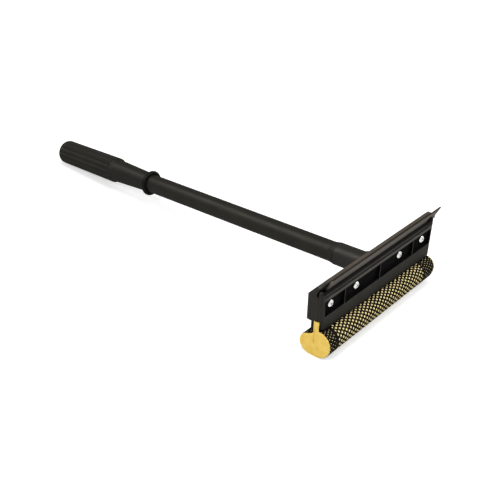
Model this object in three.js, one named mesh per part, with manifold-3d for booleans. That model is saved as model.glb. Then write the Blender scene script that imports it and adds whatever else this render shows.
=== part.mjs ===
// Squeegee for windscreens: a plastic handle with a fluted grip, and a two-part head that clamps a rubber
// blade along its top and a netted foam roll along its bottom.
// Millimetres, +Z up. X runs along the head, the handle runs back along +Y. The tool lies as it rests on a
// floor, on its roll and on the butt of its grip. The origin is the middle of the roll's flat on the floor.
import * as THREE from "three";
import { mergeVertices } from "three/addons/utils/BufferGeometryUtils.js";
import Module from "manifold-3d";

// Clearances
const FIT = 0.3; // between two hard pieces that are held together
const SOFT_FIT = 0.4; // between the foam and its net
const OVERLAP = 0.6; // how far joined or cut bodies reach into one another

// Foam roll: a round section with an oval and a three-lobed term, about its own centre
const ROLL_RADIUS = 17.85;
const ROLL_OVAL = 0.187;
const ROLL_OVAL_TILT = THREE.MathUtils.degToRad(-28);
const ROLL_LOBES = 0.072;
const ROLL_LOBE_TILT = THREE.MathUtils.degToRad(116.5);
const ROLL_BACK = 7.7; // from the head's front plane back to the roll's centre, at the middle of the head
const ROLL_DROP = 19; // from the clamp plate's foot down to the roll's centre
const ROLL_LEFT_INSET = 0.6; // from the head's left end to the roll's
const ROLL_RIGHT_INSET = 3.3;
const ROLL_LEAN = 3.6; // how much further back the roll lies at the head's right end than at its left
const REST_CUT = 0.5; // depth of the flat on which the roll rests
const STEM_THICKNESS = 6;

// Net over the roll
const NET_INSET = 1.2; // from the roll's ends to the net's
const NET_THICKNESS = 1;
const NET_FLAP_THICKNESS = 0.6;
const NET_FLAP_RISE = 8; // above the clamp plate's foot
const NET_COLUMNS = 30;
const NET_FRONT_ROWS = 9;
const NET_BACK_ROWS = 7;
const NET_STRAND = 0.22; // half width of a strand, as a share of a grid step

// Head, from its front plane back and from the clamp plate's foot up
const HEAD_LENGTH = 203.2;
const HEAD_DEPTH = 19;
const JAW_TOP = 42;
const JAW_BOTTOM = 9.6;
const JAW_LIP_THICKNESS = 2;
const JAW_LIP_FOOT = 0.5;
const STEM_TOP = 11;

// Clamp plate
const PLATE_DEPTH = 5.4;
const PLATE_END_INSET = 1.2;
const PLATE_TAPER = 3.6; // each end, from the plate's top to its foot
const PLATE_END_SPREAD = 0.9; // how far each end leans out for a step back towards the jaw
const PLATE_FOOT_THICKNESS = 2.6;
const PLATE_TOP = 44.3;
const PLATE_LIP_THICKNESS = 1.2;
const PLATE_CORNER = 2.5;
const PLATE_EDGE = 1;
const SHELF = 39.6; // top of the ledge in front of the blade
const SHELF_FILLET = 3.9;
const EAR_FRONT = 43; // where the ears' front starts to round over
const EAR_TOP = 48.6;
const EAR_CREST = 3; // from the front plane back to the ears' crest
const END_WALL = 2;
const RECESS_LOW = 17;
const RECESS_HIGH = 36.4;
const RECESS_DEPTH = 4;
const RIB_THICKNESS = 1.6;
const RIB_SETBACK = 0.4;
const RIB_SHARE = 0.615; // place of the outer ribs, as a share of half the head

// Screws
const SCREW_NEAR_SHARE = 0.39; // places from the middle, as shares of half the head
const SCREW_FAR_SHARE = 0.8234;
const SCREW_HEIGHT = 26.9;
const SCREW_HEAD_RADIUS = 4.4;
const SCREW_HEAD_RISE = 2.2;
const SCREW_RADIUS = 1.9;
const SCREW_LENGTH = 11;
const SCREW_POINT = 2;
const CROSS_LENGTH = 4.6;
const CROSS_WIDTH = 1.1;
const CROSS_DEPTH = 1.3;

// Blade, and the leaning wall of the jaw behind it
const BLADE_CLAMPED = 2.5; // height of the blade that is held behind the plate's lip
const BLADE_SHORTFALL = 3.2; // how much shorter the blade is than the head
const BLADE_OFFSET = 12;
const BLADE_THICKNESS = 2.2;
const BLADE_TIP = 1.6;
const BLADE_LEAN = THREE.MathUtils.degToRad(25.7);
const BLADE_REACH = 14.5; // from the bend to the wiping edge
const BLADE_LIFT = 0.5; // from the plate's top to the bend
const WALL_THICKNESS = 3.4;
const WALL_REACH = 12;
const WALL_CORNER = 20;
const WALL_CORNER_RUN = 13.5; // length of the rounded corner along the head

// Handle, along its own axis from the jaw's back
const AXIS_HEIGHT = 26.7; // above the clamp plate's foot, at the jaw's back
const NECK_LENGTH = 36.7;
const NECK_RADIUS = 13;
const NECK_ROOT = 3; // length and rise of the cone where the neck leaves the jaw
const SPIGOT_LENGTH = 34;
const TUBE_RADIUS = 11.6;
const TUBE_WALL = 2;
const TUBE_LENGTH = 303.6;
const FLARE_LENGTH = 8;
const MOUTH_LENGTH = 1.2;
const RING_RADIUS = 16.1;
const RING_SECTION = 2.5;
const RING_OFFSET = 3; // from the ring's middle to the tube's far end
const GRIP_LENGTH = 168.3;
const GRIP_NECK_RADIUS = 12.1;
const GRIP_TAPER = 58.9;
const GRIP_TAPER_RADIUS = 14.5;
const GRIP_RADIUS = 16.3;
const GRIP_BUTT_RADIUS = 15.6;
const GRIP_SHOULDER = 3;
const GRIP_WALL = 2.6;
const GRIP_EDGE = 6; // rounding of the butt's edge
const GRIP_CROWN = 0.8; // rise of the butt's end face
const FLUTES = 16;
const FLUTE_DEPTH = 0.7;
const FLUTE_STEPS = 4;
const ROUND_STEPS = 32;

// Colours
const BLACK_PLASTIC = { color: 0x1c1c1a, roughness: 0.48, metalness: 0 };
const BLACK_RUBBER = { color: 0x0e0e0e, roughness: 0.42, metalness: 0 };
const BLADE_RUBBER = { color: 0x4c4844, roughness: 0.66, metalness: 0 };
const YELLOW_FOAM = { color: 0xecd583, roughness: 0.95, metalness: 0 };
const BLACK_NET = { color: 0x23211b, roughness: 0.6, metalness: 0 };
const BRIGHT_STEEL = { color: 0xd8d8d6, roughness: 0.25, metalness: 1 };

const wasm = await Module();
wasm.setup();

// Section planes: a section drawn in (y, z) runs along X, an outline drawn in (x, z) runs along -Y.
const ALONG_X = new THREE.Matrix4().makeBasis(
  new THREE.Vector3(0, 1, 0),
  new THREE.Vector3(0, 0, 1),
  new THREE.Vector3(1, 0, 0),
);
const ALONG_Y = new THREE.Matrix4().makeBasis(
  new THREE.Vector3(1, 0, 0),
  new THREE.Vector3(0, 0, 1),
  new THREE.Vector3(0, -1, 0),
);

// Welds a geometry's corners, drops flat triangles and turns its faces outwards.
function weld(geometry) {
  const plain = geometry.clone();
  plain.deleteAttribute("normal");
  plain.deleteAttribute("uv");
  const merged = mergeVertices(plain, 1e-4);
  const point = merged.attributes.position;
  const corners = Array.from(merged.index.array);
  const kept = [];
  let volume = 0;
  for (let i = 0; i < corners.length; i += 3) {
    const [a, b, c] = corners.slice(i, i + 3);
    if (a === b || b === c || c === a) continue;
    kept.push([a, b, c]);
    const [pa, pb, pc] = [a, b, c].map((k) => new THREE.Vector3().fromBufferAttribute(point, k));
    volume += pa.dot(pb.cross(pc)) / 6;
  }
  const faces = volume < 0 ? kept.map(([a, b, c]) => [a, c, b]) : kept;
  merged.setIndex(faces.flat());
  return merged;
}

function toSolid(geometry) {
  const closed = weld(geometry);
  const vertProperties = new Float32Array(closed.attributes.position.array);
  const triVerts = new Uint32Array(closed.index.array);
  return new wasm.Manifold(new wasm.Mesh({ numProp: 3, vertProperties, triVerts }));
}

function toGeometry(solid) {
  const mesh = solid.getMesh();
  const geometry = new THREE.BufferGeometry();
  geometry.setAttribute("position", new THREE.BufferAttribute(new Float32Array(mesh.vertProperties), 3));
  geometry.setIndex(Array.from(mesh.triVerts));
  return geometry;
}

// A section in (y, z) run along X over a length, centred at a place along X.
function alongX(shape, length, centre = 0, curveSegments = 8) {
  const geometry = new THREE.ExtrudeGeometry(shape, { depth: length, bevelEnabled: false, curveSegments });
  return geometry.translate(0, 0, centre - length / 2).applyMatrix4(ALONG_X);
}

// An outline in (x, z) run along Y from a front to a back.
function alongY(shape, front, back, curveSegments = 8) {
  const depth = back - front;
  const geometry = new THREE.ExtrudeGeometry(shape, { depth, bevelEnabled: false, curveSegments });
  return geometry.applyMatrix4(ALONG_Y).translate(0, back, 0);
}

function polygon(points) {
  return new THREE.Shape(points.map(([a, b]) => new THREE.Vector2(a, b)));
}

function turned(profile, steps = ROUND_STEPS) {
  return new THREE.LatheGeometry(profile.map(([r, y]) => new THREE.Vector2(r, y)), steps);
}

function box(x0, x1, y0, y1, z0, z1) {
  const geometry = new THREE.BoxGeometry(x1 - x0, y1 - y0, z1 - z0);
  return geometry.translate((x0 + x1) / 2, (y0 + y1) / 2, (z0 + z1) / 2);
}

function addPart(group, name, geometry, finish) {
  const mesh = new THREE.Mesh(weld(geometry), new THREE.MeshStandardMaterial(finish));
  mesh.name = name;
  group.add(mesh);
}

// Roll section: a point at an angle about the roll's centre, drawn in by an inset.
function rollPoint(angle, inset) {
  const oval = ROLL_OVAL * Math.cos(2 * (angle - ROLL_OVAL_TILT));
  const lobes = ROLL_LOBES * Math.cos(3 * (angle - ROLL_LOBE_TILT));
  const radius = ROLL_RADIUS * (1 + oval + lobes) - inset;
  return { y: radius * Math.cos(angle), z: radius * Math.sin(angle) };
}

function lowestAngle() {
  const steps = 3600;
  let best = 0;
  for (let i = 0; i < steps; i++) {
    const angle = (2 * Math.PI * i) / steps;
    if (rollPoint(angle, 0).z < rollPoint(best, 0).z) best = angle;
  }
  return best;
}

// The angle between two bounds at which the section reaches a given y; y falls from low to high.
function angleAtY(y, inset, low, high) {
  let [a, b] = [low, high];
  for (let i = 0; i < 60; i++) {
    const middle = (a + b) / 2;
    if (rollPoint(middle, inset).y > y) a = middle;
    else b = middle;
  }
  return (a + b) / 2;
}

// Angles that split the section between two angles into equal lengths.
function evenAngles(from, to, count) {
  const fine = 400;
  const angles = [];
  const lengths = [0];
  for (let i = 0; i <= fine; i++) {
    angles.push(from + ((to - from) * i) / fine);
    if (i === 0) continue;
    const a = rollPoint(angles[i - 1], 0);
    const b = rollPoint(angles[i], 0);
    lengths.push(lengths[i - 1] + Math.hypot(b.y - a.y, b.z - a.z));
  }
  const result = [];
  let k = 0;
  for (let i = 0; i <= count; i++) {
    const target = (lengths[fine] * i) / count;
    while (k < fine - 1 && lengths[k + 1] < target) k++;
    const share = (target - lengths[k]) / (lengths[k + 1] - lengths[k]);
    result.push(angles[k] + share * (angles[k + 1] - angles[k]));
  }
  return result;
}

// Where the pieces lie. The roll's lowest point stands over the origin, and the head over the roll.
const LOWEST = lowestAngle();
const LOWEST_POINT = rollPoint(LOWEST, 0);
const ROLL_Y = -LOWEST_POINT.y;
const ROLL_Z = -LOWEST_POINT.z - REST_CUT;
const FRONT_Y = ROLL_Y - ROLL_BACK;
const HALF_HEAD = HEAD_LENGTH / 2;
const ROLL_LEFT = ROLL_LEFT_INSET - HALF_HEAD;
const ROLL_RIGHT = HALF_HEAD - ROLL_RIGHT_INSET;
const NET_LEFT = ROLL_LEFT + NET_INSET;
const NET_RIGHT = ROLL_RIGHT - NET_INSET;
const FOOT_Z = ROLL_Z + ROLL_DROP;

// How far back the roll leans at a place along X: nothing at the stem, all of it from its centre down.
function leanAt(x, z) {
  const share = THREE.MathUtils.clamp((FOOT_Z - z) / ROLL_DROP, 0, 1);
  return ((ROLL_LEAN * x) / HEAD_LENGTH) * share;
}

// Slot for the stem, from the plate's foot back to the jaw's lip
const FLAP_FRONT = PLATE_FOOT_THICKNESS + FIT;
const STEM_FRONT = FLAP_FRONT + NET_FLAP_THICKNESS + FIT;
const STEM_BACK = STEM_FRONT + STEM_THICKNESS;
const FLAP_BACK = STEM_BACK + FIT + NET_FLAP_THICKNESS;
const LIP_FRONT = FLAP_BACK + FIT;
const LIP_BACK = LIP_FRONT + JAW_LIP_THICKNESS;
const STEM_CEILING = STEM_TOP + FIT;

// Slot for the blade, and its lean from the bend up
const JAW_FRONT = PLATE_DEPTH + FIT;
const SLOT_BACK = JAW_FRONT + BLADE_THICKNESS + FIT;
const BLADE_ROOT = PLATE_TOP - BLADE_CLAMPED;
const SLOT_FLOOR = BLADE_ROOT - FIT;
const BEND = new THREE.Vector2(JAW_FRONT, PLATE_TOP + BLADE_LIFT);
const LEAN_UP = new THREE.Vector2(-Math.sin(BLADE_LEAN), Math.cos(BLADE_LEAN));
const LEAN_BACK = new THREE.Vector2(Math.cos(BLADE_LEAN), Math.sin(BLADE_LEAN));

// A point on the leaning part, by its way up from the bend and its depth behind the blade's front.
function leaning(up, depth) {
  const point = BEND.clone().addScaledVector(LEAN_UP, up).addScaledVector(LEAN_BACK, depth);
  return [point.x, point.y];
}

// The bend on a face that lies a depth behind the blade's front.
function bendAt(depth) {
  return leaning((-depth * (1 - Math.cos(BLADE_LEAN))) / Math.sin(BLADE_LEAN), depth);
}

// The way up at which a leaning face at a depth passes a height.
function upAtHeight(height, depth) {
  return (height - BEND.y - depth * LEAN_BACK.y) / LEAN_UP.y;
}

function handleSlope() {
  const along = NECK_LENGTH + FIT + TUBE_LENGTH + FIT + GRIP_LENGTH - GRIP_CROWN - GRIP_EDGE;
  const height = FOOT_Z + AXIS_HEIGHT;
  return Math.asin(height / Math.hypot(along, GRIP_BUTT_RADIUS)) - Math.atan2(GRIP_BUTT_RADIUS, along);
}

function rearJaw() {
  const wallFront = BLADE_THICKNESS + FIT;
  const wallBack = wallFront + WALL_THICKNESS;
  const section = polygon([
    [HEAD_DEPTH, JAW_BOTTOM],
    [LIP_BACK, JAW_BOTTOM],
    [LIP_BACK, JAW_LIP_FOOT],
    [LIP_FRONT, JAW_LIP_FOOT],
    [LIP_FRONT, STEM_CEILING],
    [JAW_FRONT, STEM_CEILING],
    [JAW_FRONT, SLOT_FLOOR],
    [SLOT_BACK, SLOT_FLOOR],
    bendAt(wallFront),
    leaning(WALL_REACH, wallFront),
    leaning(WALL_REACH, wallBack),
    leaning(upAtHeight(JAW_TOP, wallBack), wallBack),
    [HEAD_DEPTH, JAW_TOP],
  ]);
  const crest = leaning(WALL_REACH, wallBack)[1];
  const arcStart = Math.acos(WALL_CORNER_RUN / WALL_CORNER);
  const outline = new THREE.Shape();
  const arcX = HALF_HEAD - WALL_CORNER_RUN;
  outline.moveTo(-HALF_HEAD, JAW_LIP_FOOT - OVERLAP);
  outline.lineTo(HALF_HEAD, JAW_LIP_FOOT - OVERLAP);
  outline.absarc(arcX, crest - WALL_CORNER, WALL_CORNER, arcStart, Math.PI / 2);
  outline.absarc(-arcX, crest - WALL_CORNER, WALL_CORNER, Math.PI / 2, Math.PI - arcStart);
  const block = toSolid(alongX(section, HEAD_LENGTH + 2 * OVERLAP));
  const trimmed = block.intersect(toSolid(alongY(outline, -HEAD_DEPTH, HEAD_DEPTH + OVERLAP)));
  const neck = turned([
    [0, -NECK_ROOT],
    [NECK_RADIUS + NECK_ROOT / 2, -NECK_ROOT],
    [NECK_RADIUS + NECK_ROOT / 2, NECK_ROOT / 2],
    [NECK_RADIUS, 2 * NECK_ROOT],
    [NECK_RADIUS, NECK_LENGTH],
    [TUBE_RADIUS - TUBE_WALL - FIT, NECK_LENGTH],
    [TUBE_RADIUS - TUBE_WALL - FIT, NECK_LENGTH + SPIGOT_LENGTH],
    [0, NECK_LENGTH + SPIGOT_LENGTH],
  ]);
  neck.rotateX(-handleSlope()).translate(0, HEAD_DEPTH, AXIS_HEIGHT);
  let jaw = trimmed.add(toSolid(neck));
  for (const x of screwPlaces()) {
    const hole = turned([
      [0, JAW_FRONT - OVERLAP],
      [SCREW_RADIUS + FIT, JAW_FRONT - OVERLAP],
      [SCREW_RADIUS + FIT, RECESS_DEPTH + SCREW_LENGTH + FIT],
      [0, RECESS_DEPTH + SCREW_LENGTH + FIT],
    ], ROUND_STEPS / 2);
    jaw = jaw.subtract(toSolid(hole.translate(x, 0, SCREW_HEIGHT)));
  }
  return toGeometry(jaw);
}

function screwPlaces() {
  return [-SCREW_FAR_SHARE, -SCREW_NEAR_SHARE, SCREW_NEAR_SHARE, SCREW_FAR_SHARE].map((k) => k * HALF_HEAD);
}

// Half the plate's length at a height: its ends draw in towards the foot.
function plateHalf(height) {
  return HALF_HEAD - PLATE_END_INSET - PLATE_TAPER * (1 - height / EAR_TOP);
}

// A band of the plate between two heights, drawn in from the plate's ends.
function plateBand(low, high, inset) {
  return polygon([
    [inset - plateHalf(low), low],
    [plateHalf(low) - inset, low],
    [plateHalf(high) - inset, high],
    [inset - plateHalf(high), high],
  ]);
}

function plateSection() {
  const section = new THREE.Shape();
  section.moveTo(PLATE_FOOT_THICKNESS, 0);
  section.lineTo(PLATE_FOOT_THICKNESS, STEM_CEILING);
  section.lineTo(PLATE_DEPTH, STEM_CEILING + PLATE_DEPTH - PLATE_FOOT_THICKNESS);
  section.lineTo(PLATE_DEPTH, PLATE_TOP);
  section.lineTo(...leaning(upAtHeight(EAR_TOP, -FIT), -FIT));
  section.lineTo(EAR_CREST, EAR_TOP);
  section.quadraticCurveTo(0, EAR_TOP, 0, EAR_FRONT);
  section.lineTo(0, PLATE_EDGE);
  section.quadraticCurveTo(0, 0, PLATE_EDGE, 0);
  return section;
}

// The step in front of the blade, between the ears, with a rounded inside corner.
function shelfCut() {
  const lipFront = PLATE_DEPTH - PLATE_LIP_THICKNESS;
  const step = new THREE.Shape();
  step.moveTo(-OVERLAP, SHELF);
  step.lineTo(lipFront - SHELF_FILLET, SHELF);
  step.quadraticCurveTo(lipFront, SHELF, lipFront, SHELF + SHELF_FILLET);
  step.lineTo(lipFront, PLATE_TOP);
  step.lineTo(PLATE_DEPTH + OVERLAP, PLATE_TOP);
  step.lineTo(PLATE_DEPTH + OVERLAP, EAR_TOP + OVERLAP);
  step.lineTo(-OVERLAP, EAR_TOP + OVERLAP);
  return step;
}

function clampPlate() {
  const outline = new THREE.Shape();
  const foot = plateHalf(0);
  const top = plateHalf(EAR_TOP);
  outline.moveTo(PLATE_CORNER - foot, 0);
  outline.lineTo(foot - PLATE_CORNER, 0);
  outline.quadraticCurveTo(foot, 0, plateHalf(PLATE_CORNER), PLATE_CORNER);
  outline.lineTo(plateHalf(EAR_TOP - PLATE_CORNER), EAR_TOP - PLATE_CORNER);
  outline.quadraticCurveTo(top, EAR_TOP, top - PLATE_CORNER, EAR_TOP);
  outline.lineTo(PLATE_CORNER - top, EAR_TOP);
  outline.quadraticCurveTo(-top, EAR_TOP, -plateHalf(EAR_TOP - PLATE_CORNER), EAR_TOP - PLATE_CORNER);
  outline.lineTo(-plateHalf(PLATE_CORNER), PLATE_CORNER);
  outline.quadraticCurveTo(-foot, 0, PLATE_CORNER - foot, 0);
  const bar = toSolid(alongX(plateSection(), HEAD_LENGTH - 2 * FIT));
  const blank = alongY(outline, -OVERLAP, PLATE_DEPTH + OVERLAP);
  const points = blank.attributes.position;
  for (let i = 0; i < points.count; i++) {
    const spread = PLATE_END_SPREAD * points.getY(i);
    points.setX(i, points.getX(i) + Math.sign(points.getX(i)) * spread);
  }
  let plate = bar.intersect(toSolid(blank));
  const shelfBand = alongY(plateBand(SHELF - OVERLAP, EAR_TOP + OVERLAP, END_WALL), -HEAD_DEPTH, HEAD_DEPTH);
  plate = plate.subtract(toSolid(alongX(shelfCut(), HEAD_LENGTH)).intersect(toSolid(shelfBand)));
  const recess = alongY(plateBand(RECESS_LOW, RECESS_HIGH, END_WALL), -OVERLAP, RECESS_DEPTH);
  plate = plate.subtract(toSolid(recess));
  for (const share of [-RIB_SHARE, 0, RIB_SHARE]) {
    const left = share * HALF_HEAD - RIB_THICKNESS / 2;
    const right = left + RIB_THICKNESS;
    const [low, high] = [RECESS_LOW - OVERLAP, RECESS_HIGH + OVERLAP];
    plate = plate.add(toSolid(box(left, right, RIB_SETBACK, PLATE_DEPTH - OVERLAP, low, high)));
  }
  for (const x of screwPlaces()) {
    const hole = turned([
      [0, -OVERLAP],
      [SCREW_RADIUS + FIT, -OVERLAP],
      [SCREW_RADIUS + FIT, PLATE_DEPTH + OVERLAP],
      [0, PLATE_DEPTH + OVERLAP],
    ], ROUND_STEPS / 2);
    plate = plate.subtract(toSolid(hole.translate(x, 0, SCREW_HEIGHT)));
  }
  return toGeometry(plate);
}

// A pan-head screw with a cross recess; its axis is Y and its head is in front.
function screw() {
  const seat = RECESS_DEPTH - FIT;
  const top = seat - SCREW_HEAD_RISE;
  const tip = RECESS_DEPTH + SCREW_LENGTH;
  const body = turned([
    [0, top],
    [SCREW_HEAD_RADIUS * 0.55, top + SCREW_HEAD_RISE * 0.12],
    [SCREW_HEAD_RADIUS * 0.88, top + SCREW_HEAD_RISE * 0.45],
    [SCREW_HEAD_RADIUS, seat - SCREW_HEAD_RISE * 0.2],
    [SCREW_HEAD_RADIUS, seat],
    [SCREW_RADIUS, seat],
    [SCREW_RADIUS, tip - SCREW_POINT],
    [0, tip],
  ], ROUND_STEPS / 2);
  const [long, wide] = [CROSS_LENGTH / 2, CROSS_WIDTH / 2];
  const slotA = box(-long, long, top - OVERLAP, top + CROSS_DEPTH, -wide, wide);
  const slotB = box(-wide, wide, top - OVERLAP, top + CROSS_DEPTH, -long, long);
  return toGeometry(toSolid(body).subtract(toSolid(slotA)).subtract(toSolid(slotB)));
}

function blade() {
  const section = polygon([
    [JAW_FRONT, BLADE_ROOT],
    [JAW_FRONT + BLADE_THICKNESS, BLADE_ROOT],
    bendAt(BLADE_THICKNESS),
    leaning(BLADE_REACH, BLADE_TIP),
    leaning(BLADE_REACH, 0),
    bendAt(0),
  ]);
  return alongX(section, HEAD_LENGTH - BLADE_SHORTFALL, BLADE_OFFSET);
}

// Angles at which the stem's sides, or the net's flaps beside them, leave the roll.
function frontAngle(y, inset) {
  return angleAtY(y - ROLL_BACK, inset, Math.PI / 2, Math.PI);
}

function backAngle(y, inset) {
  return angleAtY(y - ROLL_BACK, inset, 0, Math.PI / 2) + 2 * Math.PI;
}

// A row's angles: even steps from the front flap to the lowest point, and from there to the back flap.
function netAngles() {
  const front = evenAngles(frontAngle(FLAP_FRONT, 0), LOWEST, NET_FRONT_ROWS);
  const back = evenAngles(LOWEST, backAngle(FLAP_BACK, 0), NET_BACK_ROWS);
  return front.concat(back.slice(1));
}

// The roll takes the net's rows as its corners, so that the two stay parallel.
function foamRoll() {
  const inset = NET_THICKNESS + SOFT_FIT;
  const angles = netAngles();
  angles[0] = frontAngle(STEM_FRONT, inset);
  angles[angles.length - 1] = backAngle(STEM_BACK, inset);
  const outline = angles.map((angle) => {
    const point = rollPoint(angle, inset);
    return [point.y + ROLL_Y, point.z + ROLL_Z];
  });
  outline.push([STEM_BACK + FRONT_Y, STEM_TOP + FOOT_Z]);
  outline.push([STEM_FRONT + FRONT_Y, STEM_TOP + FOOT_Z]);
  const roll = alongX(polygon(outline), ROLL_RIGHT - ROLL_LEFT, (ROLL_LEFT + ROLL_RIGHT) / 2);
  const points = roll.attributes.position;
  for (let i = 0; i < points.count; i++) {
    points.setY(i, points.getY(i) + leanAt(points.getX(i), points.getZ(i)));
  }
  return roll;
}

// The net's path in section: a flap beside the stem, the way round the roll, and the other flap.
// Whole numbers are grid rows. The outer point comes first, then the inner one.
function netPath(angles, row) {
  const last = angles.length + 1;
  const flapTop = NET_FLAP_RISE + FOOT_Z;
  const around = (place) => {
    const low = Math.min(Math.floor(place), angles.length - 2);
    const angle = angles[low] + (angles[low + 1] - angles[low]) * (place - low);
    const outer = rollPoint(angle, 0);
    let turn = angle;
    if (place === 0) turn = frontAngle(FLAP_FRONT + NET_FLAP_THICKNESS, NET_THICKNESS);
    if (place === angles.length - 1) turn = backAngle(FLAP_BACK - NET_FLAP_THICKNESS, NET_THICKNESS);
    const inner = rollPoint(turn, NET_THICKNESS);
    return [
      [outer.y + ROLL_Y, Math.max(outer.z + ROLL_Z, 0)],
      [inner.y + ROLL_Y, inner.z + ROLL_Z],
    ];
  };
  if (row >= 1 && row <= last - 1) return around(row - 1);
  const atFront = row < 1;
  const corner = around(atFront ? 0 : angles.length - 1);
  const share = atFront ? 1 - row : row - (last - 1);
  return corner.map(([y, z]) => [y, z + (flapTop - z) * share]);
}

// A net of slanting strands: a sheet with staggered diamond gaps, thickened along its path.
function netCover() {
  const angles = netAngles();
  const rows = angles.length + 1;
  const lowRow = NET_FRONT_ROWS + 1;
  const middle = NET_COLUMNS / 2;
  const positions = [];
  const known = new Map();
  const faces = [];

  // Index of a corner's outer point; its inner point follows it.
  function corner(column, row) {
    const key = `${column.toFixed(3)} ${row.toFixed(3)}`;
    if (!known.has(key)) {
      const x = (Math.abs(column - middle) / middle) * (column < middle ? NET_LEFT : NET_RIGHT);
      known.set(key, positions.length / 3);
      for (const [y, z] of netPath(angles, row)) positions.push(x, y + leanAt(x, z), z);
    }
    return known.get(key);
  }

  // Gaps are centred on every other grid point, so that strands cross under the middle of the roll.
  function isCentre(column, row) {
    return Math.abs(column - middle + row - lowRow) % 2 === 1;
  }

  function isOpen(column, row) {
    return column > 0 && column < NET_COLUMNS && row > 1 && row < rows - 1;
  }

  function fan(corners) {
    for (let i = 1; i + 1 < corners.length; i++) faces.push([corners[0], corners[i], corners[i + 1]]);
  }

  const wide = 1 - NET_STRAND;
  for (let i = 0; i < NET_COLUMNS; i++) {
    for (let j = 0; j < rows; j++) {
      const straight = isCentre(i, j);
      const [a, b] = straight ? [[i, j], [i + 1, j + 1]] : [[i + 1, j], [i, j + 1]];
      const side = straight ? 1 : -1;
      const aAlong = corner(a[0] + side * wide, a[1]);
      const aUp = corner(a[0], a[1] + wide);
      const bAlong = corner(b[0] - side * wide, b[1]);
      const bDown = corner(b[0], b[1] - wide);
      const strand = [aAlong, corner(b[0], a[1]), bDown, bAlong, corner(a[0], b[1]), aUp];
      const fills = [];
      if (!isOpen(...a)) fills.push([corner(...a), aAlong, aUp]);
      if (!isOpen(...b)) fills.push([corner(...b), bAlong, bDown]);
      for (const loop of [strand, ...fills]) fan(straight ? loop : loop.reverse());
    }
  }
  return thicken(positions, faces);
}

// Closes a sheet of outer faces with its inner faces and with walls along every free edge.
function thicken(positions, faces) {
  const edges = new Set();
  for (const [a, b, c] of faces) {
    for (const [from, to] of [[a, b], [b, c], [c, a]]) edges.add(`${from} ${to}`);
  }
  const index = [];
  for (const [a, b, c] of faces) {
    index.push(a, b, c, a + 1, c + 1, b + 1);
    for (const [from, to] of [[a, b], [b, c], [c, a]]) {
      if (!edges.has(`${to} ${from}`)) index.push(to, from, from + 1, to, from + 1, to + 1);
    }
  }
  const geometry = new THREE.BufferGeometry();
  geometry.setAttribute("position", new THREE.Float32BufferAttribute(positions, 3));
  geometry.setIndex(index);
  return geometry;
}

// Tube with a flared mouth over the neck's spigot; Y runs along the handle from the jaw's back.
function handleTube() {
  const start = NECK_LENGTH + FIT;
  const bore = TUBE_RADIUS - TUBE_WALL;
  return turned([
    [bore, start],
    [NECK_RADIUS, start],
    [NECK_RADIUS, start + MOUTH_LENGTH],
    [TUBE_RADIUS, start + FLARE_LENGTH],
    [TUBE_RADIUS, start + TUBE_LENGTH],
    [bore, start + TUBE_LENGTH],
    [bore, start],
  ]);
}

// Round bead that keeps water off the grip, bored to the tube.
function dripRing() {
  const middle = NECK_LENGTH + FIT + TUBE_LENGTH - RING_OFFSET;
  const bore = TUBE_RADIUS + FIT;
  const centre = RING_RADIUS - RING_SECTION;
  const reach = Math.acos((bore - centre) / RING_SECTION);
  const steps = 12;
  const profile = [];
  for (let i = 0; i <= steps; i++) {
    const angle = -reach + (2 * reach * i) / steps;
    profile.push([centre + RING_SECTION * Math.cos(angle), middle + RING_SECTION * Math.sin(angle)]);
  }
  profile.push(profile[0]);
  return turned(profile);
}

// Grip: a hollow spigot in the tube, a smooth taper, then flutes to a domed butt.
function grip() {
  const start = NECK_LENGTH + FIT + TUBE_LENGTH + FIT;
  const end = start + GRIP_LENGTH;
  const spigot = TUBE_RADIUS - TUBE_WALL - FIT;
  const spigotBore = spigot - TUBE_WALL;
  const inside = GRIP_BUTT_RADIUS - FLUTE_DEPTH - GRIP_WALL;
  const fluted = start + GRIP_TAPER;
  const edgeStart = end - GRIP_CROWN - GRIP_EDGE;
  const rings = [
    [0, end - GRIP_CROWN - GRIP_WALL, 0],
    [inside - GRIP_EDGE / 2, end - GRIP_CROWN - GRIP_WALL, 0],
    [inside, edgeStart - GRIP_EDGE / 2, 0],
    [inside, fluted + GRIP_SHOULDER, 0],
    [spigotBore, start, 0],
    [spigotBore, start - SPIGOT_LENGTH, 0],
    [spigot, start - SPIGOT_LENGTH, 0],
    [spigot, start, 0],
    [GRIP_NECK_RADIUS, start, 0],
    [GRIP_TAPER_RADIUS, fluted, 0],
    [GRIP_RADIUS, fluted + GRIP_SHOULDER, 0],
    [GRIP_RADIUS, fluted + 2 * GRIP_SHOULDER, 1],
    [GRIP_BUTT_RADIUS, edgeStart - GRIP_SHOULDER, 1],
    [GRIP_BUTT_RADIUS, edgeStart, 0.5],
  ];
  const edgeSteps = 4;
  for (let i = 1; i <= edgeSteps; i++) {
    const angle = ((Math.PI / 2) * i) / edgeSteps;
    const inset = GRIP_EDGE * (1 - Math.cos(angle));
    rings.push([GRIP_BUTT_RADIUS - inset, edgeStart + GRIP_EDGE * Math.sin(angle), 0]);
  }
  rings.push([0, end, 0]);
  const count = FLUTES * FLUTE_STEPS;
  const positions = [];
  const index = [];
  rings.forEach(([radius, along, depth], ring) => {
    for (let k = 0; k < count; k++) {
      const angle = (2 * Math.PI * k) / count;
      const groove = depth * FLUTE_DEPTH * (0.5 - 0.5 * Math.cos(FLUTES * angle));
      positions.push((radius - groove) * Math.cos(angle), along, (radius - groove) * Math.sin(angle));
      if (ring === 0) continue;
      const next = (k + 1) % count;
      const [a, b] = [(ring - 1) * count + k, (ring - 1) * count + next];
      index.push(a, b, b + count, a, b + count, a + count);
    }
  });
  const geometry = new THREE.BufferGeometry();
  geometry.setAttribute("position", new THREE.Float32BufferAttribute(positions, 3));
  geometry.setIndex(index);
  return geometry;
}

const squeegee = new THREE.Group();

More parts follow.
